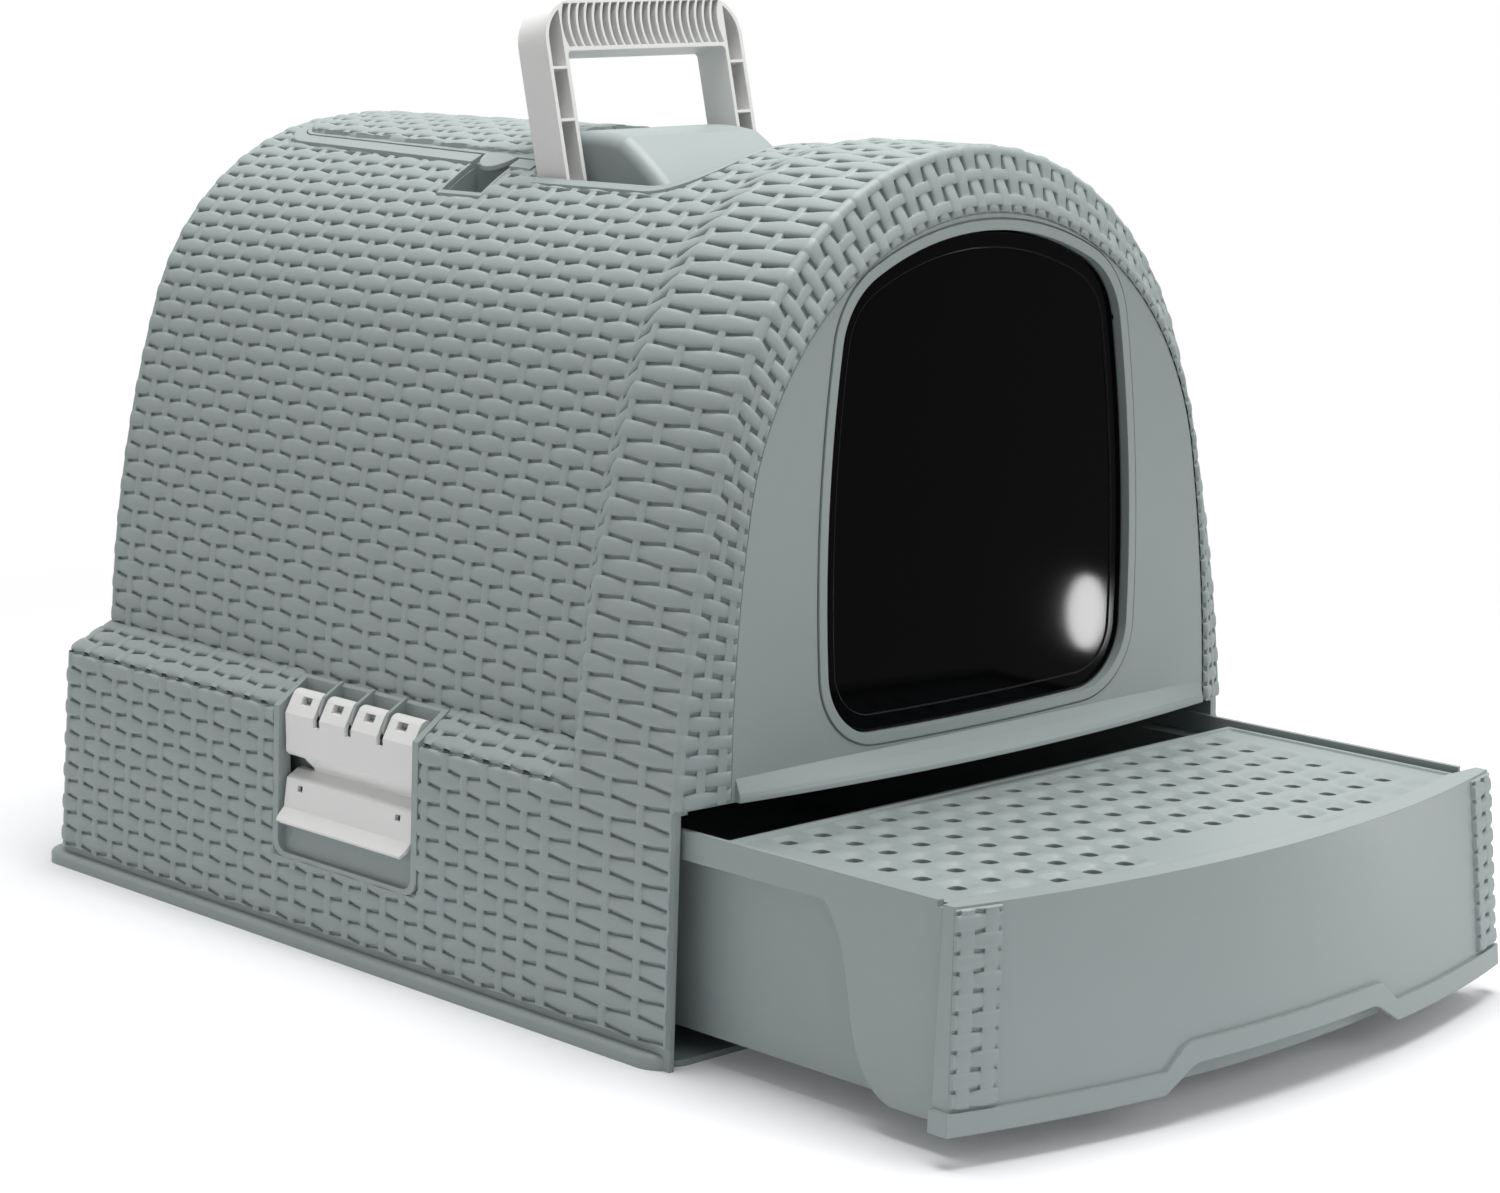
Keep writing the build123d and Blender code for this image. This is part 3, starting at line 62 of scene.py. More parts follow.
# Hood lines in millimetres, as the solids have them
SKIRT_FOOT_HALF = 187.0
SKIRT_TOP_HALF = 182.0
SKIRT_TOP_Z = 118.0
SKIRT_FRONT_Y = -257.0
SKIRT_REAR_FOOT_Y = 250.0
SKIRT_REAR_TOP_Y = 244.0
SKIRT_CORNER_R = 14.0
SHOULDER_TOP_Z = 132.0
SHOULDER_TOP_HALF = 162.0
SHOULDER_REAR_Y = 228.3
SHOULDER_CORNER_R = 9.0
BARREL_LINE = {"crown": 397.0, "top_r": 135.0, "turn": 71.0, "half": 163.0, "base_z": 100.0}
HOOP_LINE = {"crown": 401.0, "top_r": 153.0, "turn": 71.0, "half": 182.0, "base_z": 118.0}
PANEL_LINE = {"crown": 373.0, "top_r": 150.0, "turn": 80.0, "half": 159.5, "base_z": 121.0}
BARREL_REAR_Y = 229.0
BARREL_EDGE_R = 9.0
HOOP_REAR_Y = -190.0
FLARE_REAR_Y = -168.0
PANEL_Y = -268.0

# Points along each arc of an arch
ARC_STEPS = 160

# Places on the hood that stay smooth, and the lid's own weave
RECESS = {"half": 69.0, "front": -141.0, "rear": -17.0, "corner": 30.0, "rim": 4.0}
LID = {"front": -11.0, "rear": 205.0, "front_half": 57.0, "rear_half": 47.0, "corner": 16.0, "border": 7.6,
       "top": 3.6, "plain": 4.0, "rows": 8, "relief": 2.4}
POCKET = {"half": 84.0, "front": -1.0, "rear": 35.0, "corner": 0.5}
CLIP = {"mid_y": -15.0, "half": 59.0, "foot_z": 43.5}
SKIRT_PLAIN_Z = 10.0

# Points inside the object that the woven skins face away from
INSIDE = {"barrel": (0, 30, 200), "hoop": (0, -150, 200), "skirt": (0, 0, 60), "rear": (0, 0, 200),
          "lid": (0, 90, 200), "drawer": (0, -300, 60)}

# Drawer front, standing open as photographed, and the woven strips at its corners
FASCIA = {"top_z": 109.5, "floor_z": 14.0, "top_half": 180.5, "foot_half": 187.0, "foot_step": 5.0,
          "bulge": 27.0, "corner_y": -425.5, "lip_top": 24.0}
STRIP = {"pitch": 11.0, "rise": 8.2, "warp_half": 3.0, "margin": 0.8, "relief": 2.5, "widths": (0.38, 0.42),
         "first": -0.5, "columns": 2}

# Step grid in the drawer's mouth: its cells with dish and hole, the bead round its edge and the field
# that stays bare
GRID = {"pitch": 20.6, "columns": 15, "rows": 8, "first": 2.7, "dish": 8.9, "dish_firm": 4, "hole": 3.8,
        "hole_firm": 3, "depth": 1.9, "blind_flat": 0.5, "bead": 2.2, "bead_rise": 1.1, "bead_foot": 2.8,
        "front": 13.6, "edge": 17.4, "field_half": 52.3, "field_reach": 30.0}
GRID_SIDE_STEPS = 8
GRID_RING_SHARES = (0.0, 0.2, 0.4, 0.6, 0.8, 1.0)

# Filter pad: rings and points round them, how square it is, its taper, its edge and its dimples
PAD = {"rings": 26, "around": 160, "firm": 7, "taper": 0.1, "edge_firm": 10, "top": 0.9, "dimple": 0.06,
       "dimple_wave": 0.55}

# Strand heights as shares of the relief: middle level, swing over and under, and the body on top with
# its roundness; then the flattening of the swing's crests
WEFT = {"level": 0.46, "swing": 0.19, "body": 0.37, "firm": 2.4}
WARP = {"level": 0.64, "swing": 0.04, "body": 0.13, "firm": 2.0}
SWING_FIRM = 1.2

# Shares of a weft's half width at which it is sampled, and the foot's step beside it in rows
BODY_SHARES = (-1.0, -0.84, -0.5, 0.0, 0.5, 0.84, 1.0)
FOOT_STEP = 0.014

# Shares of a warp's half width at which it is sampled, the last at its foot, and shares of the gap beyond
WARP_SHARES = (0.6, 1.0, 1.08)
GAP_SHARES = (0.3, 0.65)

# Step in phases that closes a skin's ends, its edge's dive into the wall and its lap on smooth places
END_STEP = 0.03
EDGE_DIVE = 0.8
EDGE_LAP = 0.8

# Rows from the skirt's edge to the crown, and the row in which the shoulder ends
HALF_ROWS = 42
SHOULDER_ROWS = 2.77

# Warps on the hoop and behind the flare, phases of the hoop's front corner and the flare's rear, and a
# warp's share in phases on the wider columns under the hoop
HOOP_WARPS = 4
BARREL_WARPS = 40
CORNER_PHASE = 2.0
FLARE_PHASE = 6.0
HOOP_WARP_SHARE = 0.67

# Slanted band: phases across it, their shares of its width and of a weft's, half a warp's width in phases,
# and the distance from the panel that its whole width counts for
BAND = {"phases": (-0.45, 0.0, 1.0, 2.0), "shares": (0.01, 0.2, 0.6, 1.0),
        "weft_shares": (0.8, 0.8, 0.84, 1.0), "warp": 0.21, "reach": 20.0}

# Barrel weave's lap on the rear edge, the phase in the rear's middle, and the skirt's rear corner
BARREL_LAP = 4.0
REAR_PHASE = 0.5
SKIRT_SIDE_INSET = 3.0
SKIRT_TURN_PHASES = 1.5

# Limits: rows that count as one, a strand's reach, the bead's, a normal's least length, welded points
ROW_GAP = 1e-6
STRAND_REACH = 1.001
BEAD_REACH = 0.01
LEAST_NORMAL = 1e-9
WELD = 0.02 * MM

# Angles over which edges are sharp, on the skins and on the step grid
SKIN_CREASE = 55.0
GRID_CREASE = 50.0

# Moulded finishes: colour setting, roughness, mottling, grain and radius of the softened edges; the
# smoked gloss and the felt, which add to them; and the finish of each slot
MOULDED = {"sage_weave": ("sage", 0.5, 0.03, 0.25, 0.0),
           "sage_moulding": ("sage", 0.46, 0.03, 0.18, 0.7 * MM),
           "pale_moulding": ("pale", 0.44, 0.02, 0.15, 0.5 * MM),
           "rod_moulding": ("rod", 0.4, 0.04, 0.1, 0.0)}
# The smoked gloss's rim range marks the softened edges that get a painted highlight of lighter grey
SMOKED = {"surface": (0.05, 0.2, 0.02, 0.7 * MM), "specular": 0.025,
          "rim": {"From Min": 0.999, "From Max": 0.9}}
FELTED = {"surface": (0.92, 0.35, 0.6, 0.0),
          "sheen": {"Sheen Weight": 0.4, "Sheen Roughness": 0.6, "Specular IOR Level": 0.1}}
SLOT_FINISH = {"shell_plastic": "sage_moulding", "pale_plastic": "pale_moulding",
               "pin_plastic": "rod_moulding", "smoked_plastic": "smoked_gloss",
               "filter_felt": "charcoal_felt"}

# Noise of the finishes, the grain's depth, the spread of the roughness and the samples of a softened edge
MOTTLE = {"Scale": 34.0, "Detail": 5.0}
GRAIN = {"Scale": 1400.0, "Detail": 2.0}
GRAIN_DEPTH = 0.1 * MM
GLOSS_SPREAD = 0.12
EDGE_SAMPLES = 4

# Lamps: size and place in metres, and the point that each is aimed at
LAMPS = {"top_lamp": ((1.6, 1.6), (0.1, -0.2, 2.1), (0, -0.1, 0.2)),
         "key_lamp": ((1.2, 1.2), (0.7, -2.2, 1.2), (0, -0.2, 0.15)),
         "card_lamp": ((0.026, 0.05), (0.59, -0.722, 0.045), (0.08, -0.264, 0.167))}

# Floor: half its width in metres, its roughness, its glow to the eye and the distances in which it fades;
# then the camera's sensor in millimetres, and white
FLOOR = {"half": 2.0, "roughness": 0.9, "glow": 0.07, "fade": {"From Min": 0.6, "From Max": 1.15}}
SENSOR_WIDTH = 36.0
WHITE = (1, 1, 1, 1)

# What every colour setting has
COLOUR = {"subtype": "COLOR", "min": 0.0, "max": 1.0}


# Settings that a user would change


class WeaveSettings(bpy.types.PropertyGroup):
    """Sizes of the moulded weave."""

    relief: bpy.props.FloatProperty(
        name="Relief", description="Height of the weave's crests over the wall",
        default=3.0 * MM, unit="LENGTH")
    ground: bpy.props.FloatProperty(
        name="Ground", description="Height of the weave's gaps over the wall",
        default=0.25 * MM, unit="LENGTH")
    row_pitch: bpy.props.FloatProperty(
        name="Row pitch", description="Distance between two wefts", default=8.8 * MM, unit="LENGTH")
    warp_pitch: bpy.props.FloatProperty(
        name="Warp pitch", description="Distance between two warps behind the flare",
        default=15.0 * MM, unit="LENGTH")
    warp_half: bpy.props.FloatProperty(
        name="Warp half width", description="Half a warp's width", default=2.5 * MM, unit="LENGTH")
    weft_full: bpy.props.FloatProperty(
        name="Weft half width", description="Half a weft's width over a warp, in rows",
        default=0.465, min=0.2, max=0.48)
    weft_slim: bpy.props.FloatProperty(
        name="Weft end half width", description="Half a weft's width under a warp, in rows",
        default=0.36, min=0.1, max=0.48)
    fade: bpy.props.FloatProperty(
        name="Fade", description="Distance in which the weave sinks at its edges",
        default=0.8 * MM, unit="LENGTH")


class FinishSettings(bpy.types.PropertyGroup):
    """Colours of the finishes."""

    sage: bpy.props.FloatVectorProperty(
        name="Sage", description="Grey green of the hood, base and drawer",
        default=(0.295, 0.340, 0.336), **COLOUR)
    pale: bpy.props.FloatVectorProperty(
        name="Pale", description="Off-white of the handle and clips", default=(0.78, 0.78, 0.765), **COLOUR)
    smoke: bpy.props.FloatVectorProperty(
        name="Smoke", description="Dark tint of the flap", default=(0.0015, 0.0015, 0.002), **COLOUR)
    # A lighter grey painted on the flap's edges as a highlight, not the plastic's own colour
    smoke_highlight: bpy.props.FloatVectorProperty(
        name="Smoke edge", description="Grey of the flap's lit edges", default=(0.05, 0.05, 0.055), **COLOUR)
    felt: bpy.props.FloatVectorProperty(
        name="Felt", description="Charcoal of the filter pad", default=(0.035, 0.035, 0.037), **COLOUR)
    rod: bpy.props.FloatVectorProperty(
        name="Rod", description="Grey of the clip rods", default=(0.30, 0.34, 0.33), **COLOUR)


class StageSettings(bpy.types.PropertyGroup):
    """Camera, lamps and floor."""

    eye: bpy.props.FloatVectorProperty(
        name="Camera place", description="Where the camera stands",
        default=(-1.2134, -1.4191, 0.5052), subtype="TRANSLATION", unit="LENGTH")
    look: bpy.props.FloatVectorProperty(
        name="Camera look", description="Direction in which the camera looks",
        default=(0.6557, 0.7343, -0.1757), subtype="DIRECTION")
    roll: bpy.props.FloatProperty(
        name="Camera roll", description="Turn of the camera about its line of sight",
        default=radians(-0.17), subtype="ANGLE")
    lens: bpy.props.FloatProperty(name="Lens", description="Focal length in millimetres", default=87.02)
    shift: bpy.props.FloatVectorProperty(
        name="Lens shift", description="Shift of the frame to the photograph's crop",
        size=2, default=(0.0422, -0.0188))
    sky: bpy.props.FloatProperty(
        name="Sky", description="Strength of the even light all round", default=0.38, min=0.0)
    top_power: bpy.props.FloatProperty(
        name="Top lamp", description="Power of the lamp overhead", default=46.0, unit="POWER")
    key_power: bpy.props.FloatProperty(
        name="Key lamp", description="Power of the lamp at the front right", default=8.0, unit="POWER")
    card_power: bpy.props.FloatProperty(
        name="Card lamp", description="Power of the small lamp that the flap mirrors",
        default=0.5, unit="POWER")
    floor: bpy.props.FloatVectorProperty(
        name="Floor", description="Pale floor colour", default=(0.88, 0.88, 0.90), **COLOUR)


# Lines and surfaces of the hood and drawer


def arch_line(crown, top_r, turn, half, base_z):
    """Points of an arch's right half from its base to its crown: a long side arc, then the crown's arc."""
    bend = radians(turn)
    join = np.array([top_r * sin(bend), crown - top_r + top_r * cos(bend)])
    inward = np.array([-sin(bend), -cos(bend)])
    to_base = np.array([half, base_z]) - join
    reach = to_base.dot(to_base) / (2 * to_base.dot(inward))
    centre = join + inward * reach
    foot = np.array([half, base_z]) - centre
    start, end = atan2(foot[1], foot[0]), atan2(*(join - centre)[::-1])
    side = [centre + reach * np.array([cos(a), sin(a)]) for a in np.linspace(start, end, ARC_STEPS)]
    top = [(top_r * sin(a), crown - top_r + top_r * cos(a)) for a in np.linspace(bend, 0, ARC_STEPS)[1:]]
    return np.array(side + top)


def by_length(line):
    """A function from a share of a line's length to the point there."""
    steps = np.hypot(*np.diff(line, axis=0).T)
    along = np.concatenate([[0], np.cumsum(steps)])
    along = along / along[-1]
    return lambda share: (np.interp(share, along, line[:, 0]), np.interp(share, along, line[:, 1]))


def barrel_with_shoulder():
    """The barrel's half line, beginning with the shoulder from the skirt's edge."""
    line = arch_line(**BARREL_LINE)
    line = line[line[:, 1] > SHOULDER_TOP_Z]
    return np.vstack([[SKIRT_TOP_HALF, SKIRT_TOP_Z], [SHOULDER_TOP_HALF, SHOULDER_TOP_Z], line])


BARREL = by_length(barrel_with_shoulder())
HOOP = by_length(arch_line(**HOOP_LINE))
PANEL = by_length(arch_line(**PANEL_LINE))


def hood_surface(row, depth):
    """Points of the hood's right half over rows and depths, from the flare's foot up to the crown."""
    share = row / HALF_ROWS
    mix = np.clip((depth - HOOP_REAR_Y) / (FLARE_REAR_Y - HOOP_REAR_Y), 0, 1)
    x = HOOP(share)[0] * (1 - mix) + BARREL(share)[0] * mix
    z = HOOP(share)[1] * (1 - mix) + BARREL(share)[1] * mix
    return np.stack([x, depth + 0 * row, z], axis=-1)


def band_surface(row, share):
    """Points of the slanted band in front of the hoop; share runs from the panel to the hoop's edge."""
    along = row / HALF_ROWS
    x = PANEL(along)[0] * (1 - share) + HOOP(along)[0] * share
    z = PANEL(along)[1] * (1 - share) + HOOP(along)[1] * share
    return np.stack([x, PANEL_Y + (SKIRT_FRONT_Y - PANEL_Y) * share + 0 * row, z], axis=-1)


def skirt_surface(path, level):
    """Points of skirt and shoulder on the right: path 0 to 1 is the side, then corner and rear."""
    levels = (0, SKIRT_TOP_Z, SHOULDER_TOP_Z)
    half = np.interp(level, levels, (SKIRT_FOOT_HALF, SKIRT_TOP_HALF, SHOULDER_TOP_HALF))
    rear = np.interp(level, levels, (SKIRT_REAR_FOOT_Y, SKIRT_REAR_TOP_Y, SHOULDER_REAR_Y))
    corner = np.interp(level, levels, (SKIRT_CORNER_R, SKIRT_CORNER_R, SHOULDER_CORNER_R))
    side = np.clip(path, 0, 1)
    turn = np.clip(path - 1, 0, 1) * pi / 2
    back = np.clip(path - 2, 0, 1)
    x = half - corner + corner * np.cos(turn) - (half - corner) * back
    y = SKIRT_FRONT_Y + (rear - corner - SKIRT_FRONT_Y) * side + corner * np.sin(turn)
    return np.stack([x, y, level + 0 * path], axis=-1)


def bow_depth(x, outset):
    """Depth of a line parallel to the drawer front's bow, outset from it or, if negative, inside it."""
    radius = (FASCIA["top_half"] ** 2 + FASCIA["bulge"] ** 2) / (2 * FASCIA["bulge"])
    return FASCIA["corner_y"] - FASCIA["bulge"] + radius - np.sqrt((radius + outset) ** 2 - x ** 2)


def fascia_surface(inward, level):
    """Points of the drawer's bowed front, counted inwards from its right corner."""
    share = (FASCIA["top_z"] - level) / (FASCIA["top_z"] - FASCIA["floor_z"])
    x = FASCIA["top_half"] + (FASCIA["foot_half"] - FASCIA["top_half"]) * share - inward
    return np.stack([x, bow_depth(x, FASCIA["foot_step"] * share), level + 0 * inward], axis=-1)


# Distances in plan, positive outside a shape


def rounded_box(x, y, half, front, rear, corner):
    """Distance from a rounded rectangle that is centred across the object."""
    dx = np.abs(x) - half + corner
    dy = np.abs(y - (front + rear) / 2) - (rear - front) / 2 + corner
    outside = np.hypot(np.clip(dx, 0, None), np.clip(dy, 0, None))
    return outside + np.minimum(np.maximum(dx, dy), 0) - corner


def lid_distance(x, y, grow):
    """Distance from the lid's outline, grown outwards."""
    share = (y - LID["front"]) / (LID["rear"] - LID["front"])
    half = LID["front_half"] + (LID["rear_half"] - LID["front_half"]) * share + grow
    straight = x * (LID["front_half"] / half)
    return rounded_box(straight, y, LID["front_half"], LID["front"] - grow, LID["rear"] + grow, LID["corner"])


def crown_distance(points):
    """Distance from the smooth places on the hood's crown: handle recess, lid border and finger pockets."""
    x, y = points[..., 0], points[..., 1]
    rim = RECESS["rim"]
    recess = rounded_box(x, y, RECESS["half"] + rim, RECESS["front"] - rim, RECESS["rear"] + rim,
                         RECESS["corner"])
    pocket = rounded_box(x, y, **POCKET)
    return np.minimum(np.minimum(recess, pocket), lid_distance(x, y, LID["border"]))


def clip_distance(points):
    """Distance from the clip's frame on the skirt and shoulder."""
    side = np.abs(points[..., 1] - CLIP["mid_y"]) - CLIP["half"]
    return np.maximum(side, CLIP["foot_z"] - points[..., 2])


# Weave


def phase_samples(first, last, narrow):
    """Phases at which the relief is sampled, closest at the edges of the warps on whole phases."""
    foot = WARP_SHARES[-1] * narrow
    right = [share * narrow for share in WARP_SHARES]
    right += [foot + share * (0.5 - foot) for share in GAP_SHARES]
    shares = np.array([-0.5] + [-place for place in right[::-1]] + [0.0] + right)
    whole = np.arange(np.floor(first) - 1, np.ceil(last) + 2)
    every = (whole[:, None] + shares[None, :]).ravel()
    inside = every[(every > first + 2 * END_STEP) & (every < last - 2 * END_STEP)]
    return np.concatenate([[first, first + END_STEP], inside, [last - END_STEP, last]])


def weft_half(phase, weft, widths):
    """Half a weft's width in rows along its length, widest over a warp."""
    slim, full = widths
    return slim + (full - slim) * (0.5 + 0.5 * np.cos(pi * (phase + weft)))


def row_samples(first, last, phase, widths):
    """Rows at which the relief is sampled along each phase, following the edges of the wefts."""
    columns = []
    for weft in np.arange(np.floor(first), np.ceil(last)):
        half = weft_half(phase, weft, widths)
        foot = half + FOOT_STEP
        places = [-0.5 + 0 * half, -foot, *(share * half for share in BODY_SHARES), foot]
        columns += [weft + 0.5 + place for place in places]
    rows = np.clip(np.hstack(columns + [last + 0 * phase]), first, last)
    fresh = (np.diff(rows, axis=1) > ROW_GAP).any(axis=0)
    return rows[:, np.concatenate([[True], fresh])]


def soft_sign(value):
    """A wave's value with its crests flattened."""
    return np.tanh(SWING_FIRM * value) / np.tanh(SWING_FIRM)


def strand_height(strand, over, across):
    """Height of a strand that lies over or under its neighbours, nought beside it."""
    body = np.clip(1 - np.abs(across) ** strand["firm"], 0, None) ** 0.5
    height = strand["level"] + strand["swing"] * soft_sign(over) + strand["body"] * body
    return np.where(np.abs(across) < STRAND_REACH, height, 0)


def weave_height(phase, row, narrow, widths):
    """Share of the relief at each sample: rounded wefts along the rows, flat warps across them."""
    weft, warp = np.floor(row), np.round(phase)
    across_weft = (row - weft - 0.5) / weft_half(phase, weft, widths)
    across_warp = (phase - warp) / narrow
    wefts = strand_height(WEFT, np.cos(pi * (phase + weft)), across_weft)
    warps = strand_height(WARP, -np.cos(pi * (warp + row - 0.5)), across_warp)
    return np.maximum(wefts, warps)


def outward_normals(points, centre):
    """Normals of a grid of points, turned away from a centre."""
    normal = np.cross(np.gradient(points, axis=0), np.gradient(points, axis=1))
    normal = normal / np.maximum(np.linalg.norm(normal, axis=-1, keepdims=True), LEAST_NORMAL)
    away = np.sum(normal * (points - np.array(centre)), axis=-1, keepdims=True)
    return np.where(away < 0, -normal, normal)


def grid_faces(keep):
    """Corner indices of a grid's quads whose cells are kept."""
    rows, columns = keep.shape[0] + 1, keep.shape[1] + 1
    index = np.arange(rows * columns).reshape(rows, columns)
    quads = np.stack([index[:-1, :-1], index[1:, :-1], index[1:, 1:], index[:-1, 1:]], axis=-1)
    return quads[keep]


def ring_faces(rings, around):
    """Corner indices of the quads between closed rings of points."""
    index = np.arange(rings * around).reshape(rings, around)
    ahead = np.roll(index, -1, axis=1)
    return np.stack([index[:-1], index[1:], ahead[1:], ahead[:-1]], axis=-1).reshape(-1, 4)


def turned_out(grid, faces, centre):
    """The faces with their corners ordered so that they look away from a centre."""
    flat = grid.reshape(-1, 3)
    a, b, c = (flat[faces[:, i]] for i in range(3))
    normal = np.cross(b - a, c - a)
    away = np.sum(normal * (a - np.array(centre)), axis=1)
    return faces if np.median(away) > 0 else faces[:, ::-1]


def mesh_object(name, points, faces, body, material):
    """A mesh piece in millimetres, freed of unused points, riding on a body of the frame."""
    used, compact = np.unique(faces, return_inverse=True)
    mesh = bpy.data.meshes.new(name)
    mesh.from_pydata((points[used] * MM).tolist(), [], compact.reshape(faces.shape).tolist())
    mesh.validate()
    mesh.shade_smooth()
    mesh.set_sharp_from_angle(angle=radians(SKIN_CREASE))
    mesh.materials.append(material)
    piece = bpy.data.objects.new(name, mesh)
    bpy.context.scene.collection.objects.link(piece)
    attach(piece, body)
    return piece


def woven_pair(name, surface, clear_of, phase, span, narrow, centre, body="shell", raised=0.0, widths=None,
               relief=None):
    """A woven skin over a wall on the right, and its mirror image with the strands swapped."""
    weave = bpy.context.scene.litter_weave
    widths = widths or (weave.weft_slim, weave.weft_full)
    material = finish("sage_weave")
    ground, relief = weave.ground / MM, relief or weave.relief / MM
    for side, label in ((1, "right"), (-1, "left")):
        turned = phase if side > 0 else phase + 1
        row = row_samples(*span, turned, widths)
        points = surface(row)
        clear = np.broadcast_to(clear_of(points), row.shape)
        sink = np.clip(clear * MM / weave.fade, 0, 1)
        sink = sink * sink * (3 - 2 * sink)
        share = weave_height(turned, row, narrow, widths)
        open_to = clear > 0
        height = np.where(open_to, ground + (relief - ground) * share * sink, -EDGE_DIVE) + raised
        skin = (points + outward_normals(points, centre) * height[..., None]) * np.array([side, 1, 1])
        cell = open_to[:-1, :-1] | open_to[1:, :-1] | open_to[1:, 1:] | open_to[:-1, 1:]
        faces = turned_out(skin, grid_faces(cell), centre)
        mesh_object(f"{name}_{label}", skin.reshape(-1, 3), faces, body, material)


def warp_places():
    """Depths and phases of the warps: wide columns on the hoop, closer ones behind the flare."""
    pitch = bpy.context.scene.litter_weave.warp_pitch / MM
    hoop = np.linspace(SKIRT_FRONT_Y, HOOP_REAR_Y, HOOP_WARPS)
    places = np.concatenate([hoop, [FLARE_REAR_Y, FLARE_REAR_Y + BARREL_WARPS * pitch]])
    barrel = [FLARE_PHASE, FLARE_PHASE + BARREL_WARPS]
    return places, np.concatenate([CORNER_PHASE + np.arange(HOOP_WARPS), barrel])


def depth_at(phase):
    """Depth of a phase of the warps."""
    places, phases = warp_places()
    return np.interp(phase, phases, places)


def phase_at(depth):
    """Phase of the warps at a depth."""
    places, phases = warp_places()
    return np.interp(depth, places, phases)


# Step grid


def square_ring():
    """Points round a unit square, evenly along its sides, starting at its lower left corner."""
    along = np.linspace(-1, 1, GRID_SIDE_STEPS + 1)[:-1]
    ends = np.ones(GRID_SIDE_STEPS)
    sides = ((along, -ends), (ends, along), (-along, ends), (-ends, -along))
    return np.vstack([np.stack(side, axis=1) for side in sides])


def soft_square(ring, half, firm):
    """The points of a ring drawn in to a square with rounded corners."""
    reach = (np.abs(ring) ** firm).sum(axis=1) ** (-1 / firm)
    return ring * (half * reach)[:, None]


def dish_drop(share):
    """Share of a dish's depth from its hole's edge, at 0, to its rim, at 1."""
    return 0.5 + 0.5 * np.cos(pi * np.clip(share, 0, 1))


def holed_cell(x, y, top):
    """Rings of points from a dish's hole to the edge of its square cell, and the quads between them."""
    ring = square_ring()
    hole = soft_square(ring, GRID["hole"], GRID["hole_firm"])
    dish = soft_square(ring, GRID["dish"], GRID["dish_firm"])
    layers = []
    for share in GRID_RING_SHARES:
        level = np.full(len(ring), top - GRID["depth"] * dish_drop(share))
        layers.append(np.column_stack([hole + (dish - hole) * share, level]))
    layers.append(np.column_stack([ring * GRID["pitch"] / 2, np.full(len(ring), top)]))
    return np.vstack(layers) + np.array([x, y, 0]), ring_faces(len(layers), len(ring))


def grid_level(x, y, half, rear, top, blind):
    """Height of the plate outside the holed cells: its bead, the dishes that the edge cuts, and the flat."""
    front = bow_depth(x, -GRID["front"])
    inset = np.minimum(np.minimum(half - np.abs(x), rear - y), y - front)
    level = top + np.where(inset < GRID["bead"] + BEAD_REACH, GRID["bead_rise"], 0)
    room = np.clip((y - bow_depth(x, -GRID["edge"])) / GRID["bead"], 0, 1)
    firm, flat = GRID["dish_firm"], GRID["blind_flat"]
    for centre_x, centre_y in blind:
        away = (np.abs(x - centre_x) ** firm + np.abs(y - centre_y) ** firm) ** (1 / firm) / GRID["dish"]
        drop = GRID["depth"] * dish_drop((away - flat) / (1 - flat))
        level = level - drop * np.where(away < 1, room, 0)
    return level


def grid_cells(rear):
    """Middles of the grid's cells: those with a hole, and those whose dish the front edge cuts."""
    holed, blind = [], []
    half = GRID["pitch"] / 2
    field_front = bow_depth(0, -GRID["edge"]) + GRID["field_reach"]
    for row in range(GRID["rows"]):
        y = rear - GRID["first"] - GRID["pitch"] * (row + 0.5)
        for column in range(GRID["columns"]):
            x = GRID["pitch"] * (column - (GRID["columns"] - 1) / 2)
            room = y - half - bow_depth(abs(x) + half, -GRID["front"] - GRID["bead_foot"])
            on_field = abs(x) < GRID["field_half"] and y < field_front
            if room > 0 and not on_field:
                holed.append((x, y))
            elif room > -2 * GRID["dish"] and not on_field:
                blind.append((x, y))
    return holed, blind


def plate_lines(half, rear):
    """Lines across and along the plate that its flat parts are built on, the cells' edges among them."""
    step = GRID["pitch"] / GRID_SIDE_STEPS
    reach = GRID["pitch"] * GRID["columns"] / 2
    edge = np.array([half, half - GRID["bead"], half - GRID["bead_foot"]])
    cells = np.linspace(-reach, reach, GRID["columns"] * GRID_SIDE_STEPS + 1)
    along = rear - GRID["first"] - step * np.arange(GRID["rows"] * GRID_SIDE_STEPS + 1)
    return np.concatenate([-edge, cells, edge[::-1]]), np.concatenate([[rear, rear - GRID["bead"]], along])


def plate_top(half, rear, top):
    """Points and faces of the plate's whole upper side, with open holes."""
    holed, blind = grid_cells(rear)
    across, along = plate_lines(half, rear)
    front = bow_depth(across, -GRID["front"])[:, None]
    y = np.maximum(along[None, :], front + GRID["bead_foot"])
    y = np.concatenate([y, front + GRID["bead"], front], axis=1)
    x = across[:, None] + 0 * y
    points = [np.stack([x, y, grid_level(x, y, half, rear, top, blind)], axis=-1).reshape(-1, 3)]
    middle_x = (across[:-1] + across[1:])[:, None] / 2
    lines = np.concatenate([along, along[-1] - np.array([1, 2])])
    middle_y = (lines[:-1] + lines[1:])[None, :] / 2
    keep = np.ones((len(across) - 1, len(lines) - 1), bool)
    faces = []
    count = len(points[0])
    for cell_x, cell_y in holed:
        away = np.maximum(np.abs(middle_x - cell_x), np.abs(middle_y - cell_y))
        keep &= away >= GRID["pitch"] / 2
        cell_points, cell_faces = holed_cell(cell_x, cell_y, top)
        points.append(cell_points)
        faces.append(cell_faces + count)
        count += len(cell_points)
    return np.vstack(points), np.vstack([grid_faces(keep)] + faces)


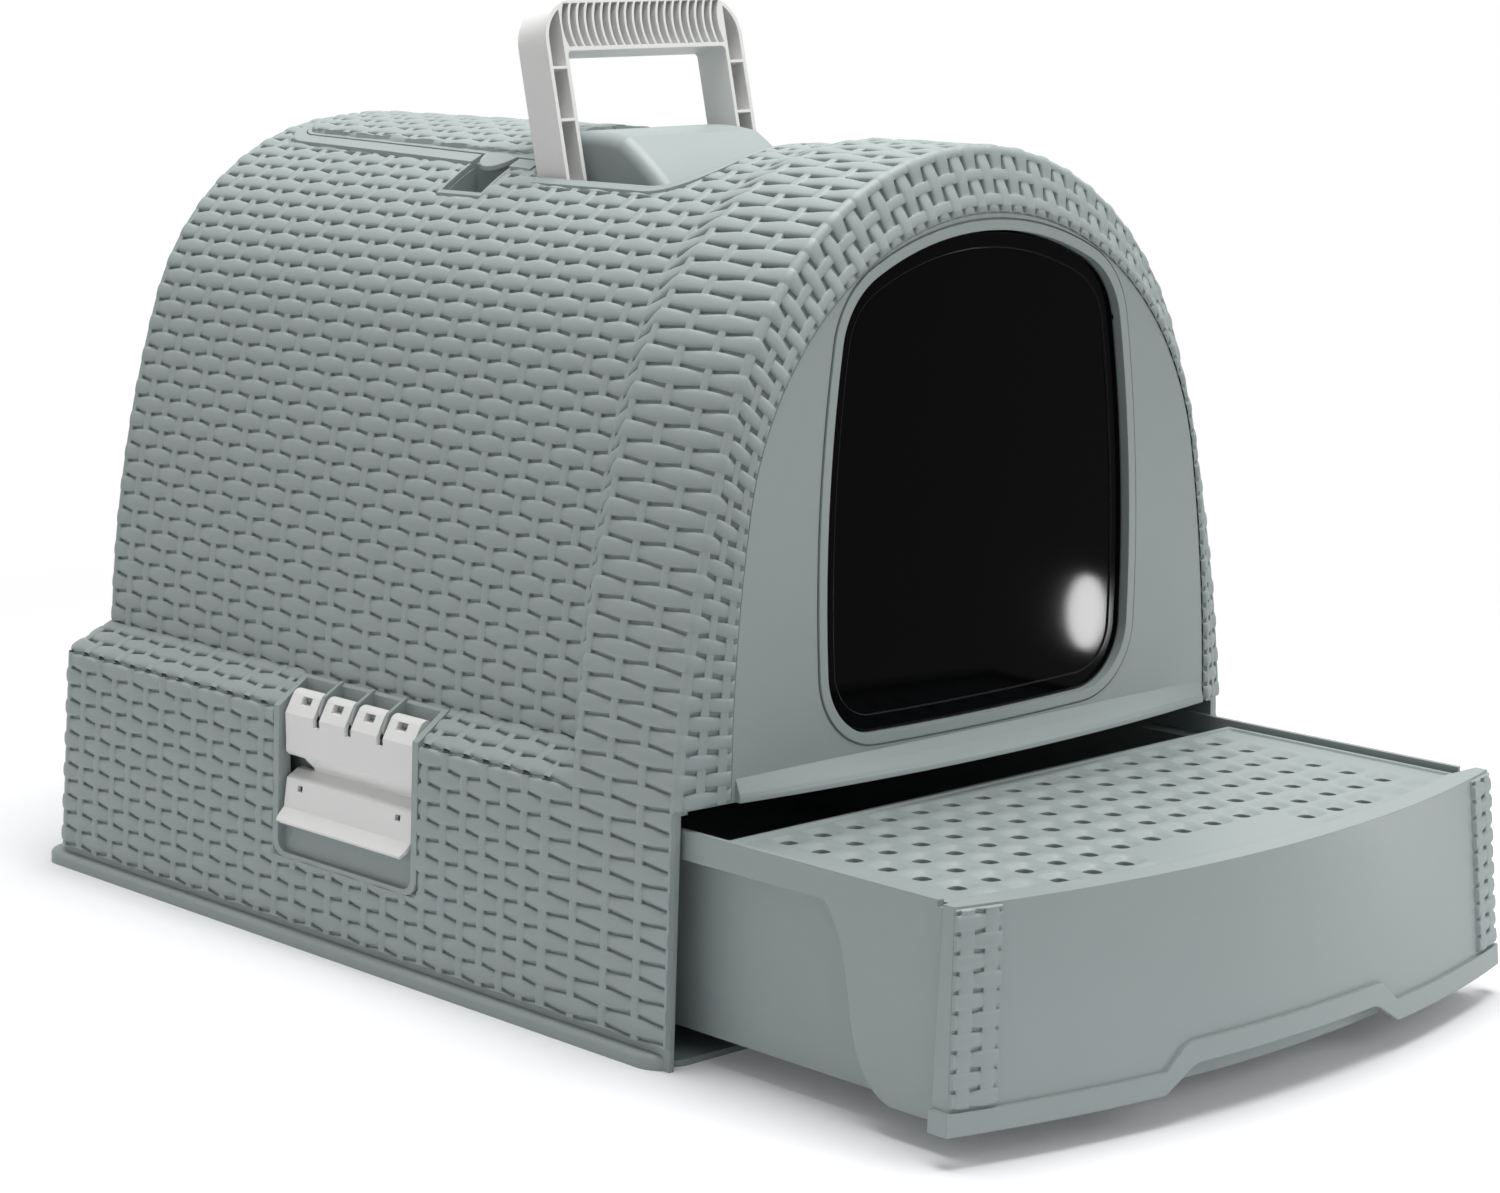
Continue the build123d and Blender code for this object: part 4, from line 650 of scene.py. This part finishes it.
def thicken_to_floor(piece, floor):
    """Close a sheet downwards: a flat underside at the floor and walls round the sheet's edge and holes."""
    bm = bmesh.new()
    bm.from_mesh(piece.data)
    bmesh.ops.remove_doubles(bm, verts=bm.verts, dist=WELD)
    bmesh.ops.dissolve_degenerate(bm, edges=bm.edges, dist=WELD)
    bmesh.ops.recalc_face_normals(bm, faces=bm.faces)
    rim = [edge for edge in bm.edges if edge.is_boundary]
    twin = bmesh.ops.duplicate(bm, geom=bm.verts[:] + bm.edges[:] + bm.faces[:])
    lower = twin["vert_map"]
    under = [face for face in twin["geom"] if isinstance(face, bmesh.types.BMFace)]
    for vert in (v for v in twin["geom"] if isinstance(v, bmesh.types.BMVert)):
        vert.co.z = floor
    bmesh.ops.reverse_faces(bm, faces=under)
    for edge in rim:
        a, b = edge.verts
        bm.faces.new((a, b, lower[b], lower[a]))
    bmesh.ops.recalc_face_normals(bm, faces=bm.faces)
    bm.to_mesh(piece.data)
    bm.free()
    piece.data.shade_smooth()
    piece.data.set_sharp_from_angle(angle=radians(GRID_CREASE))


# Filter pad


def pad_side(middle, half, side):
    """Rings of points over the pad's upper side, at 1, or under side, at -1, from its middle out."""
    share = np.linspace(0, 1, PAD["rings"] + 1)[:, None]
    angle = 2 * pi * np.arange(PAD["around"])[None, :] / PAD["around"]
    c, s, firm = np.cos(angle), np.sin(angle), PAD["firm"]
    reach = (np.abs(c) ** firm + np.abs(s) ** firm) ** (-1 / firm) * share
    y = s * reach * half.y
    x = c * reach * half.x * (1 - PAD["taper"] * (y / half.y + 1) / 2)
    dimple = PAD["dimple"] * np.sin(x * PAD["dimple_wave"]) * np.sin(y * PAD["dimple_wave"])
    edge = (1 - share ** PAD["edge_firm"]) ** 0.5
    lift = half.z * edge * (PAD["top"] + dimple if side > 0 else -1 + 0 * dimple)
    return np.stack([middle.x + x, middle.y + y, middle.z + lift], axis=-1).reshape(-1, 3)


def weld_shut(piece):
    """Join the points that lie on each other and turn the faces outwards."""
    bm = bmesh.new()
    bm.from_mesh(piece.data)
    bmesh.ops.remove_doubles(bm, verts=bm.verts, dist=WELD)
    bmesh.ops.recalc_face_normals(bm, faces=bm.faces)
    bm.to_mesh(piece.data)
    bm.free()


# Finishes


def finish(name):
    """A finish by name; all are made when the first is asked for."""
    if name not in bpy.data.materials:
        make_finishes(bpy.context.scene.litter_finish)
    return bpy.data.materials[name]


def feed(tree, node, feeds):
    """Link a node's inputs to outputs, or set them to values."""
    for name, value in feeds.items():
        if isinstance(value, bpy.types.NodeSocket):
            tree.links.new(value, node.inputs[name])
        else:
            node.inputs[name].default_value = value


def add_node(tree, kind, feeds, **traits):
    """A node with its traits set and its inputs fed."""
    node = tree.nodes.new(kind)
    for trait, value in traits.items():
        setattr(node, trait, value)
    feed(tree, node, feeds)
    return node


def moulded_plastic(name, colour, roughness, mottling, grain, edge):
    """Satin moulded plastic: faint mottling, a fine eroded grain and, on solids, softened edges."""
    material = bpy.data.materials.new(name)
    material.use_nodes = True
    tree = material.node_tree
    place = add_node(tree, "ShaderNodeTexCoord", {}).outputs["Object"]
    cloud = add_node(tree, "ShaderNodeTexNoise", {"Vector": place, **MOTTLE}).outputs["Fac"]
    spark = add_node(tree, "ShaderNodeTexNoise", {"Vector": place, **GRAIN}).outputs["Fac"]
    dark = (*[c * (1 - mottling) for c in colour], 1)
    light = (*[min(1, c * (1 + mottling)) for c in colour], 1)
    tint = add_node(tree, "ShaderNodeMix", {"Factor": cloud, "A": dark, "B": light}, data_type="RGBA")
    gloss = add_node(tree, "ShaderNodeMapRange", {
        "Value": cloud, "To Min": roughness * (1 - GLOSS_SPREAD), "To Max": roughness * (1 + GLOSS_SPREAD)})
    bump = add_node(tree, "ShaderNodeBump", {"Strength": grain, "Distance": GRAIN_DEPTH, "Height": spark})
    if edge > 0:
        bevel = add_node(tree, "ShaderNodeBevel", {"Radius": edge}, samples=EDGE_SAMPLES)
        feed(tree, bump, {"Normal": bevel.outputs["Normal"]})
    feed(tree, tree.nodes["Principled BSDF"], {
        "Base Color": tint.outputs["Result"], "Roughness": gloss.outputs["Result"],
        "Normal": bump.outputs["Normal"]})
    return material


def smoked_gloss(name, colour, highlight_colour):
    """Dark glossy plastic with a painted highlight: a lighter grey is mixed into its colour where the
    softened edges bend away from the flat face.
    """
    tree = moulded_plastic(name, colour, *SMOKED["surface"]).node_tree
    soft, flat = tree.nodes["Bevel"], add_node(tree, "ShaderNodeNewGeometry", {})
    # Painted highlight: where the softened normal turns from the flat one, the lighter edge grey is mixed
    # into the colour
    agree = add_node(tree, "ShaderNodeVectorMath", {0: soft.outputs["Normal"], 1: flat.outputs["Normal"]},
                     operation="DOT_PRODUCT")
    rim = add_node(tree, "ShaderNodeMapRange", {"Value": agree.outputs["Value"], **SMOKED["rim"]})
    tint = add_node(tree, "ShaderNodeMix", {
        "Factor": rim.outputs["Result"], "A": tree.nodes["Mix"].outputs["Result"],
        "B": (*highlight_colour, 1)}, data_type="RGBA")
    feed(tree, tree.nodes["Principled BSDF"], {
        "Base Color": tint.outputs["Result"], "Specular IOR Level": SMOKED["specular"]})


def charcoal_felt(name, colour):
    """Charcoal felt: tangled fibres in colour and bump, with a soft sheen."""
    tree = moulded_plastic(name, colour, *FELTED["surface"]).node_tree
    feed(tree, tree.nodes["Principled BSDF"], FELTED["sheen"])


def make_finishes(colours):
    """All finishes of the object."""
    for name, (colour, *surface) in MOULDED.items():
        moulded_plastic(name, getattr(colours, colour), *surface)
    # The flap's finish takes the grey of its painted edge highlight as well as its smoke tint
    smoked_gloss("smoked_gloss", colours.smoke, colours.smoke_highlight)
    charcoal_felt("charcoal_felt", colours.felt)


# Operators, one for each piece or group of like pieces


class LITTERBOX_OT_finishes(bpy.types.Operator):
    """Give every solid of the frame its moulded finish"""

    bl_idname = "litter_box.finishes"
    bl_label = "Moulded finishes"

    def execute(self, context):
        for part in frame["record"]["subparts"]:
            node = frame["nodes"][part["node"]]
            node.data.materials.clear()
            node.data.materials.append(finish(SLOT_FINISH[part["material_slot"]]))
        return {"FINISHED"}


class LITTERBOX_OT_barrel_weave(bpy.types.Operator):
    """Weave the barrel between the flare and the rounded rear edge"""

    bl_idname = "litter_box.barrel_weave"
    bl_label = "Barrel weave"

    def execute(self, context):
        weave = context.scene.litter_weave
        narrow = weave.warp_half / weave.warp_pitch
        rear = BARREL_REAR_Y - BARREL_EDGE_R + BARREL_LAP
        last = phase_at(rear)
        middle = np.round((FLARE_PHASE + last) / 2)

        def clear_of(points):
            return np.minimum(crown_distance(points) + EDGE_LAP, rear - points[..., 1])

        for name, ends in (("front_barrel", (FLARE_PHASE, middle)), ("rear_barrel", (middle, last))):
            phase = phase_samples(*ends, narrow)[:, None]
            woven_pair(f"{name}_weave", lambda row: hood_surface(row, depth_at(phase)), clear_of, phase,
                       (SHOULDER_ROWS, HALF_ROWS), narrow, INSIDE["barrel"])
        return {"FINISHED"}


class LITTERBOX_OT_hoop_weave(bpy.types.Operator):
    """Weave the flare, the hoop and the slanted band round the front panel"""

    bl_idname = "litter_box.hoop_weave"
    bl_label = "Hoop weave"

    def execute(self, context):
        weave = context.scene.litter_weave
        hoop_pitch = (HOOP_REAR_Y - SKIRT_FRONT_Y) / (HOOP_WARPS - 1)
        slim, wide = weave.warp_half / MM / hoop_pitch, BAND["warp"]
        back = phase_samples(CORNER_PHASE, FLARE_PHASE, slim)[:, None]
        front = phase_samples(BAND["phases"][0], CORNER_PHASE, wide)[:-1, None]
        share = np.interp(front, BAND["phases"], BAND["shares"])
        phase = np.concatenate([front, back])
        narrow = np.concatenate([wide + 0 * front, slim + 0 * back])
        clear = BAND["reach"] * np.concatenate([share, 1 + 0 * back])
        full = np.interp(phase, BAND["phases"], BAND["weft_shares"]) * weave.weft_full

        def surface(row):
            band, hoop = row[:len(front)], row[len(front):]
            return np.concatenate([band_surface(band, share), hood_surface(hoop, depth_at(back))])

        def clear_of(points):
            rise = points[..., 2] - points[:, :1, 2]
            return np.where(phase < CORNER_PHASE, np.minimum(clear, rise), clear)

        woven_pair("hoop_weave", surface, clear_of, phase, (0, HALF_ROWS), narrow, INSIDE["hoop"],
                   widths=(weave.weft_slim, full))
        return {"FINISHED"}


class LITTERBOX_OT_skirt_weave(bpy.types.Operator):
    """Weave the skirt and the shoulder, from the front edge round to the middle of the rear"""

    bl_idname = "litter_box.skirt_weave"
    bl_label = "Skirt weave"

    def execute(self, context):
        weave = context.scene.litter_weave
        rise = weave.row_pitch / MM
        slim = weave.warp_half / weave.warp_pitch
        corner_y = SKIRT_REAR_FOOT_Y - SKIRT_CORNER_R - SKIRT_SIDE_INSET
        side_end = phase_at(corner_y)
        corner_end = side_end + SKIRT_TURN_PHASES
        rear_columns = (SKIRT_TOP_HALF - SKIRT_CORNER_R) * MM / weave.warp_pitch
        rear_end = np.floor(corner_end + rear_columns) + REAR_PHASE
        hoop_end = FLARE_PHASE - 0.5
        hoop_slim = HOOP_WARP_SHARE * slim
        front = phase_samples(CORNER_PHASE, hoop_end, hoop_slim)[:-1]
        behind = phase_samples(hoop_end, rear_end, slim)
        whole = np.concatenate([front, behind])[:, None]
        bare = phase_samples(FLARE_PHASE, rear_end, slim)[:, None]

        def path_of(phase):
            side = (depth_at(phase) - SKIRT_FRONT_Y) / (corner_y - SKIRT_FRONT_Y)
            turn = np.interp(phase, (side_end, corner_end, rear_end), (1, 2, 3))
            return np.where(phase <= side_end, side, turn)

        def skirt(row):
            return skirt_surface(path_of(whole), SKIRT_TOP_Z + row * rise)

        def shoulder(row):
            climb = (SHOULDER_TOP_Z - SKIRT_TOP_Z) * row / SHOULDER_ROWS
            return skirt_surface(path_of(bare), SKIRT_TOP_Z + climb)

        def clear_of(points):
            ends = np.minimum(points[..., 2] - SKIRT_PLAIN_Z, points[..., 1] - SKIRT_FRONT_Y)
            return np.minimum(clip_distance(points) + EDGE_LAP, ends)

        foot = (SKIRT_PLAIN_Z - SKIRT_TOP_Z) / rise
        narrow = np.where(whole < hoop_end, hoop_slim, slim)
        woven_pair("skirt_weave", skirt, clear_of, whole, (foot, 0), narrow, INSIDE["skirt"])
        woven_pair("shoulder_weave", shoulder, clear_of, bare, (0, SHOULDER_ROWS), slim, INSIDE["skirt"])
        return {"FINISHED"}


class LITTERBOX_OT_rear_weave(bpy.types.Operator):
    """Weave the flat rear of the barrel inside its rounded edge"""

    bl_idname = "litter_box.rear_weave"
    bl_label = "Rear weave"

    def execute(self, context):
        weave = context.scene.litter_weave
        pitch, rise = weave.warp_pitch / MM, weave.row_pitch / MM
        narrow = weave.warp_half / weave.warp_pitch
        phase = phase_samples(REAR_PHASE, SHOULDER_TOP_HALF / pitch + REAR_PHASE, narrow)[:, None]
        line = arch_line(**BARREL_LINE)
        join = line[ARC_STEPS - 1, 1]

        def surface(row):
            x = (phase - REAR_PHASE) * pitch + 0 * row
            return np.stack([x, BARREL_REAR_Y + 0 * row, SHOULDER_TOP_Z + row * rise], axis=-1)

        def clear_of(points):
            x, z = points[..., 0], points[..., 2]
            side = np.interp(z, line[:ARC_STEPS, 1], line[:ARC_STEPS, 0]) - x
            over = np.clip(z - BARREL_LINE["crown"] + BARREL_LINE["top_r"], 0, None)
            radial = BARREL_LINE["top_r"] - np.hypot(x, over)
            return np.where(z < join, side, radial) - BARREL_EDGE_R

        rows = (BARREL_LINE["crown"] - SHOULDER_TOP_Z) / rise
        woven_pair("rear_weave", surface, clear_of, phase, (0, rows), narrow, INSIDE["rear"])
        return {"FINISHED"}


class LITTERBOX_OT_lid_weave(bpy.types.Operator):
    """Weave the middle of the lid, inside its smooth border"""

    bl_idname = "litter_box.lid_weave"
    bl_label = "Lid weave"

    def execute(self, context):
        weave = context.scene.litter_weave
        narrow = weave.warp_half / weave.warp_pitch
        phase = phase_samples(phase_at(LID["front"]), phase_at(LID["rear"]), narrow)[:, None]

        def clear_of(points):
            return -lid_distance(points[..., 0], points[..., 1], 0.0) - LID["plain"]

        woven_pair("lid_weave", lambda row: hood_surface(row, depth_at(phase)), clear_of, phase,
                   (HALF_ROWS - LID["rows"], HALF_ROWS), narrow, INSIDE["lid"], body="lid", raised=LID["top"],
                   relief=LID["relief"])
        return {"FINISHED"}


class LITTERBOX_OT_fascia_weave(bpy.types.Operator):
    """Weave the two corner strips of the drawer's front"""

    bl_idname = "litter_box.fascia_weave"
    bl_label = "Drawer corner strips"

    def execute(self, context):
        pitch, rise, first = STRIP["pitch"], STRIP["rise"], STRIP["first"]
        narrow = STRIP["warp_half"] / pitch
        phase = phase_samples(first, first + STRIP["columns"], narrow)[:, None]
        low, high = FASCIA["lip_top"] + STRIP["margin"], FASCIA["top_z"] - STRIP["margin"]
        inward = (phase - first) * pitch

        def clear_of(points):
            level = points[..., 2]
            edge = np.minimum(inward, STRIP["columns"] * pitch - inward)
            return np.minimum(edge, np.minimum(level - low, high - level))

        woven_pair("fascia_weave", lambda row: fascia_surface(inward, low + row * rise), clear_of, phase,
                   (0, (high - low) / rise), narrow, INSIDE["drawer"], body="drawer", widths=STRIP["widths"],
                   relief=STRIP["relief"])
        return {"FINISHED"}


class LITTERBOX_OT_step_grid(bpy.types.Operator):
    """Make the perforated step with its rounded dishes and open holes"""

    bl_idname = "litter_box.step_grid"
    bl_label = "Step grid"

    def execute(self, context):
        low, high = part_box("step_grid")
        points, faces = plate_top(high.x / MM, high.y / MM, high.z / MM - GRID["bead_rise"])
        piece = mesh_object("step_grid_plate", points, faces, "grid",
                            finish("sage_moulding"))
        thicken_to_floor(piece, low.z)
        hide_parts("step_grid")
        return {"FINISHED"}


class LITTERBOX_OT_filter_felt(bpy.types.Operator):
    """Lay the felt filter pad in its tray"""

    bl_idname = "litter_box.filter_felt"
    bl_label = "Filter felt"

    def execute(self, context):
        low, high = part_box("filter_pad")
        middle, half = (low + high) / 2 / MM, (high - low) / 2 / MM
        points = np.vstack([pad_side(middle, half, side) for side in (1, -1)])
        upper = np.roll(ring_faces(PAD["rings"] + 1, PAD["around"]), -1, axis=1)
        faces = np.vstack([upper, upper[:, ::-1] + len(points) // 2])
        piece = mesh_object("filter_felt", points, faces, "shell", finish("charcoal_felt"))
        weld_shut(piece)
        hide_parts("filter_pad")
        return {"FINISHED"}


class LITTERBOX_OT_stage(bpy.types.Operator):
    """Set the floor, the sky, the lamps and the camera"""

    bl_idname = "litter_box.stage"
    bl_label = "Stage"

    def execute(self, context):
        stage = context.scene.litter_stage
        self.set_floor(context, stage)
        self.set_sky(context, stage)
        self.add_lamp(context, "top_lamp", stage.top_power)
        self.add_lamp(context, "key_lamp", stage.key_power)
        self.add_lamp(context, "card_lamp", stage.card_power).visible_diffuse = False
        self.set_camera(context, stage)
        context.scene.view_settings.view_transform = "Standard"
        return {"FINISHED"}

    def set_floor(self, context, stage):
        """A pale floor that shows white to the eye where no shadow falls."""
        mesh = bpy.data.meshes.new("floor")
        half = FLOOR["half"]
        corners = [(-half, -half, 0), (half, -half, 0), (half, half, 0), (-half, half, 0)]
        mesh.from_pydata(corners, [], [(0, 1, 2, 3)])
        floor = bpy.data.objects.new("floor", mesh)
        context.scene.collection.objects.link(floor)
        material = bpy.data.materials.new("studio_floor")
        material.use_nodes = True
        tree = material.node_tree
        shader = tree.nodes["Principled BSDF"]
        feed(tree, shader, {
            "Base Color": (*stage.floor, 1), "Roughness": FLOOR["roughness"], "Specular IOR Level": 0.0,
            "Emission Color": WHITE, "Emission Strength": self.seen_by_eye(tree, FLOOR["glow"])})
        self.fade_out(tree, shader)
        mesh.materials.append(material)

    def fade_out(self, tree, shader):
        """Let the floor pass into the white sky well away from the object."""
        place = add_node(tree, "ShaderNodeTexCoord", {}).outputs["Object"]
        reach = add_node(tree, "ShaderNodeVectorMath", {0: place}, operation="LENGTH").outputs["Value"]
        edge = add_node(tree, "ShaderNodeMapRange", {"Value": reach, **FLOOR["fade"]},
                        interpolation_type="SMOOTHSTEP").outputs["Result"]
        clear = add_node(tree, "ShaderNodeBsdfTransparent", {}).outputs["BSDF"]
        mix = add_node(tree, "ShaderNodeMixShader", {"Fac": edge, 1: shader.outputs["BSDF"], 2: clear})
        feed(tree, tree.nodes["Material Output"], {"Surface": mix.outputs["Shader"]})

    def seen_by_eye(self, tree, strength):
        """A strength for camera, glossy and transmission rays alone."""
        rays = add_node(tree, "ShaderNodeLightPath", {}).outputs
        total = rays["Is Camera Ray"]
        for ray in ("Is Glossy Ray", "Is Transmission Ray"):
            total = add_node(tree, "ShaderNodeMath", {0: total, 1: rays[ray]}, operation="MAXIMUM").outputs[0]
        return add_node(tree, "ShaderNodeMath", {0: total, 1: strength}, operation="MULTIPLY").outputs[0]

    def set_sky(self, context, stage):
        """Even light all round, white where the eye sees it."""
        world = bpy.data.worlds.new("studio_sky")
        world.use_nodes = True
        context.scene.world = world
        tree = world.node_tree
        eye = self.seen_by_eye(tree, 1 - stage.sky)
        total = add_node(tree, "ShaderNodeMath", {0: eye, 1: stage.sky}, operation="ADD").outputs[0]
        feed(tree, tree.nodes["Background"], {"Color": WHITE, "Strength": total})

    def add_lamp(self, context, name, power):
        """A round or oval soft lamp aimed at its target."""
        size, place, target = LAMPS[name]
        data = bpy.data.lights.new(name, "AREA")
        data.energy = power
        data.shape = "ELLIPSE"
        data.size, data.size_y = size
        lamp = bpy.data.objects.new(name, data)
        lamp.location = place
        lamp.rotation_euler = (Vector(target) - Vector(place)).to_track_quat("-Z", "Y").to_euler()
        context.scene.collection.objects.link(lamp)
        return lamp

    def set_camera(self, context, stage):
        """The camera at the photograph's angle."""
        data = bpy.data.cameras.new("photo_camera")
        data.sensor_fit = "HORIZONTAL"
        data.sensor_width = SENSOR_WIDTH
        data.lens = stage.lens
        data.shift_x, data.shift_y = stage.shift
        camera = bpy.data.objects.new("photo_camera", data)
        look = Vector(stage.look).normalized()
        right = look.cross(Vector((0, 0, 1))).normalized()
        up = right.cross(look)
        turn = Matrix((right, up, -look)).transposed().to_4x4()
        camera.matrix_world = Matrix.Translation(stage.eye) @ turn @ Matrix.Rotation(stage.roll, 4, "Z")
        context.scene.collection.objects.link(camera)
        context.scene.camera = camera


class LITTERBOX_PT_sidebar(bpy.types.Panel):
    """The litter box's settings and operators"""

    bl_idname = "LITTERBOX_PT_sidebar"
    bl_label = "Litter Box"
    bl_space_type = "VIEW_3D"
    bl_region_type = "UI"
    bl_category = "Litter Box"

    def draw(self, context):
        layout = self.layout
        for group in (context.scene.litter_weave, context.scene.litter_finish, context.scene.litter_stage):
            column = layout.column(align=True)
            for name in group.__annotations__:
                column.prop(group, name)
        for operator in OPERATORS:
            layout.operator(operator.bl_idname)


SETTINGS = (
    ("litter_weave", WeaveSettings),
    ("litter_finish", FinishSettings),
    ("litter_stage", StageSettings),
)
OPERATORS = (
    LITTERBOX_OT_finishes,
    LITTERBOX_OT_barrel_weave,
    LITTERBOX_OT_hoop_weave,
    LITTERBOX_OT_skirt_weave,
    LITTERBOX_OT_rear_weave,
    LITTERBOX_OT_lid_weave,
    LITTERBOX_OT_fascia_weave,
    LITTERBOX_OT_step_grid,
    LITTERBOX_OT_filter_felt,
    LITTERBOX_OT_stage,
)


def register():
    for name, group in SETTINGS:
        bpy.utils.register_class(group)
        setattr(bpy.types.Scene, name, bpy.props.PointerProperty(type=group))
    for operator in OPERATORS:
        bpy.utils.register_class(operator)
    bpy.utils.register_class(LITTERBOX_PT_sidebar)


def unregister():
    bpy.utils.unregister_class(LITTERBOX_PT_sidebar)
    for operator in reversed(OPERATORS):
        bpy.utils.unregister_class(operator)
    for name, group in reversed(SETTINGS):
        delattr(bpy.types.Scene, name)
        bpy.utils.unregister_class(group)


def main():
    register()
    bpy.ops.litter_box.finishes()
    bpy.ops.litter_box.barrel_weave()
    bpy.ops.litter_box.hoop_weave()
    bpy.ops.litter_box.skirt_weave()
    bpy.ops.litter_box.rear_weave()
    bpy.ops.litter_box.lid_weave()
    bpy.ops.litter_box.fascia_weave()
    bpy.ops.litter_box.step_grid()
    bpy.ops.litter_box.filter_felt()
    bpy.ops.litter_box.stage()


if __name__ == "__main__":
    main()
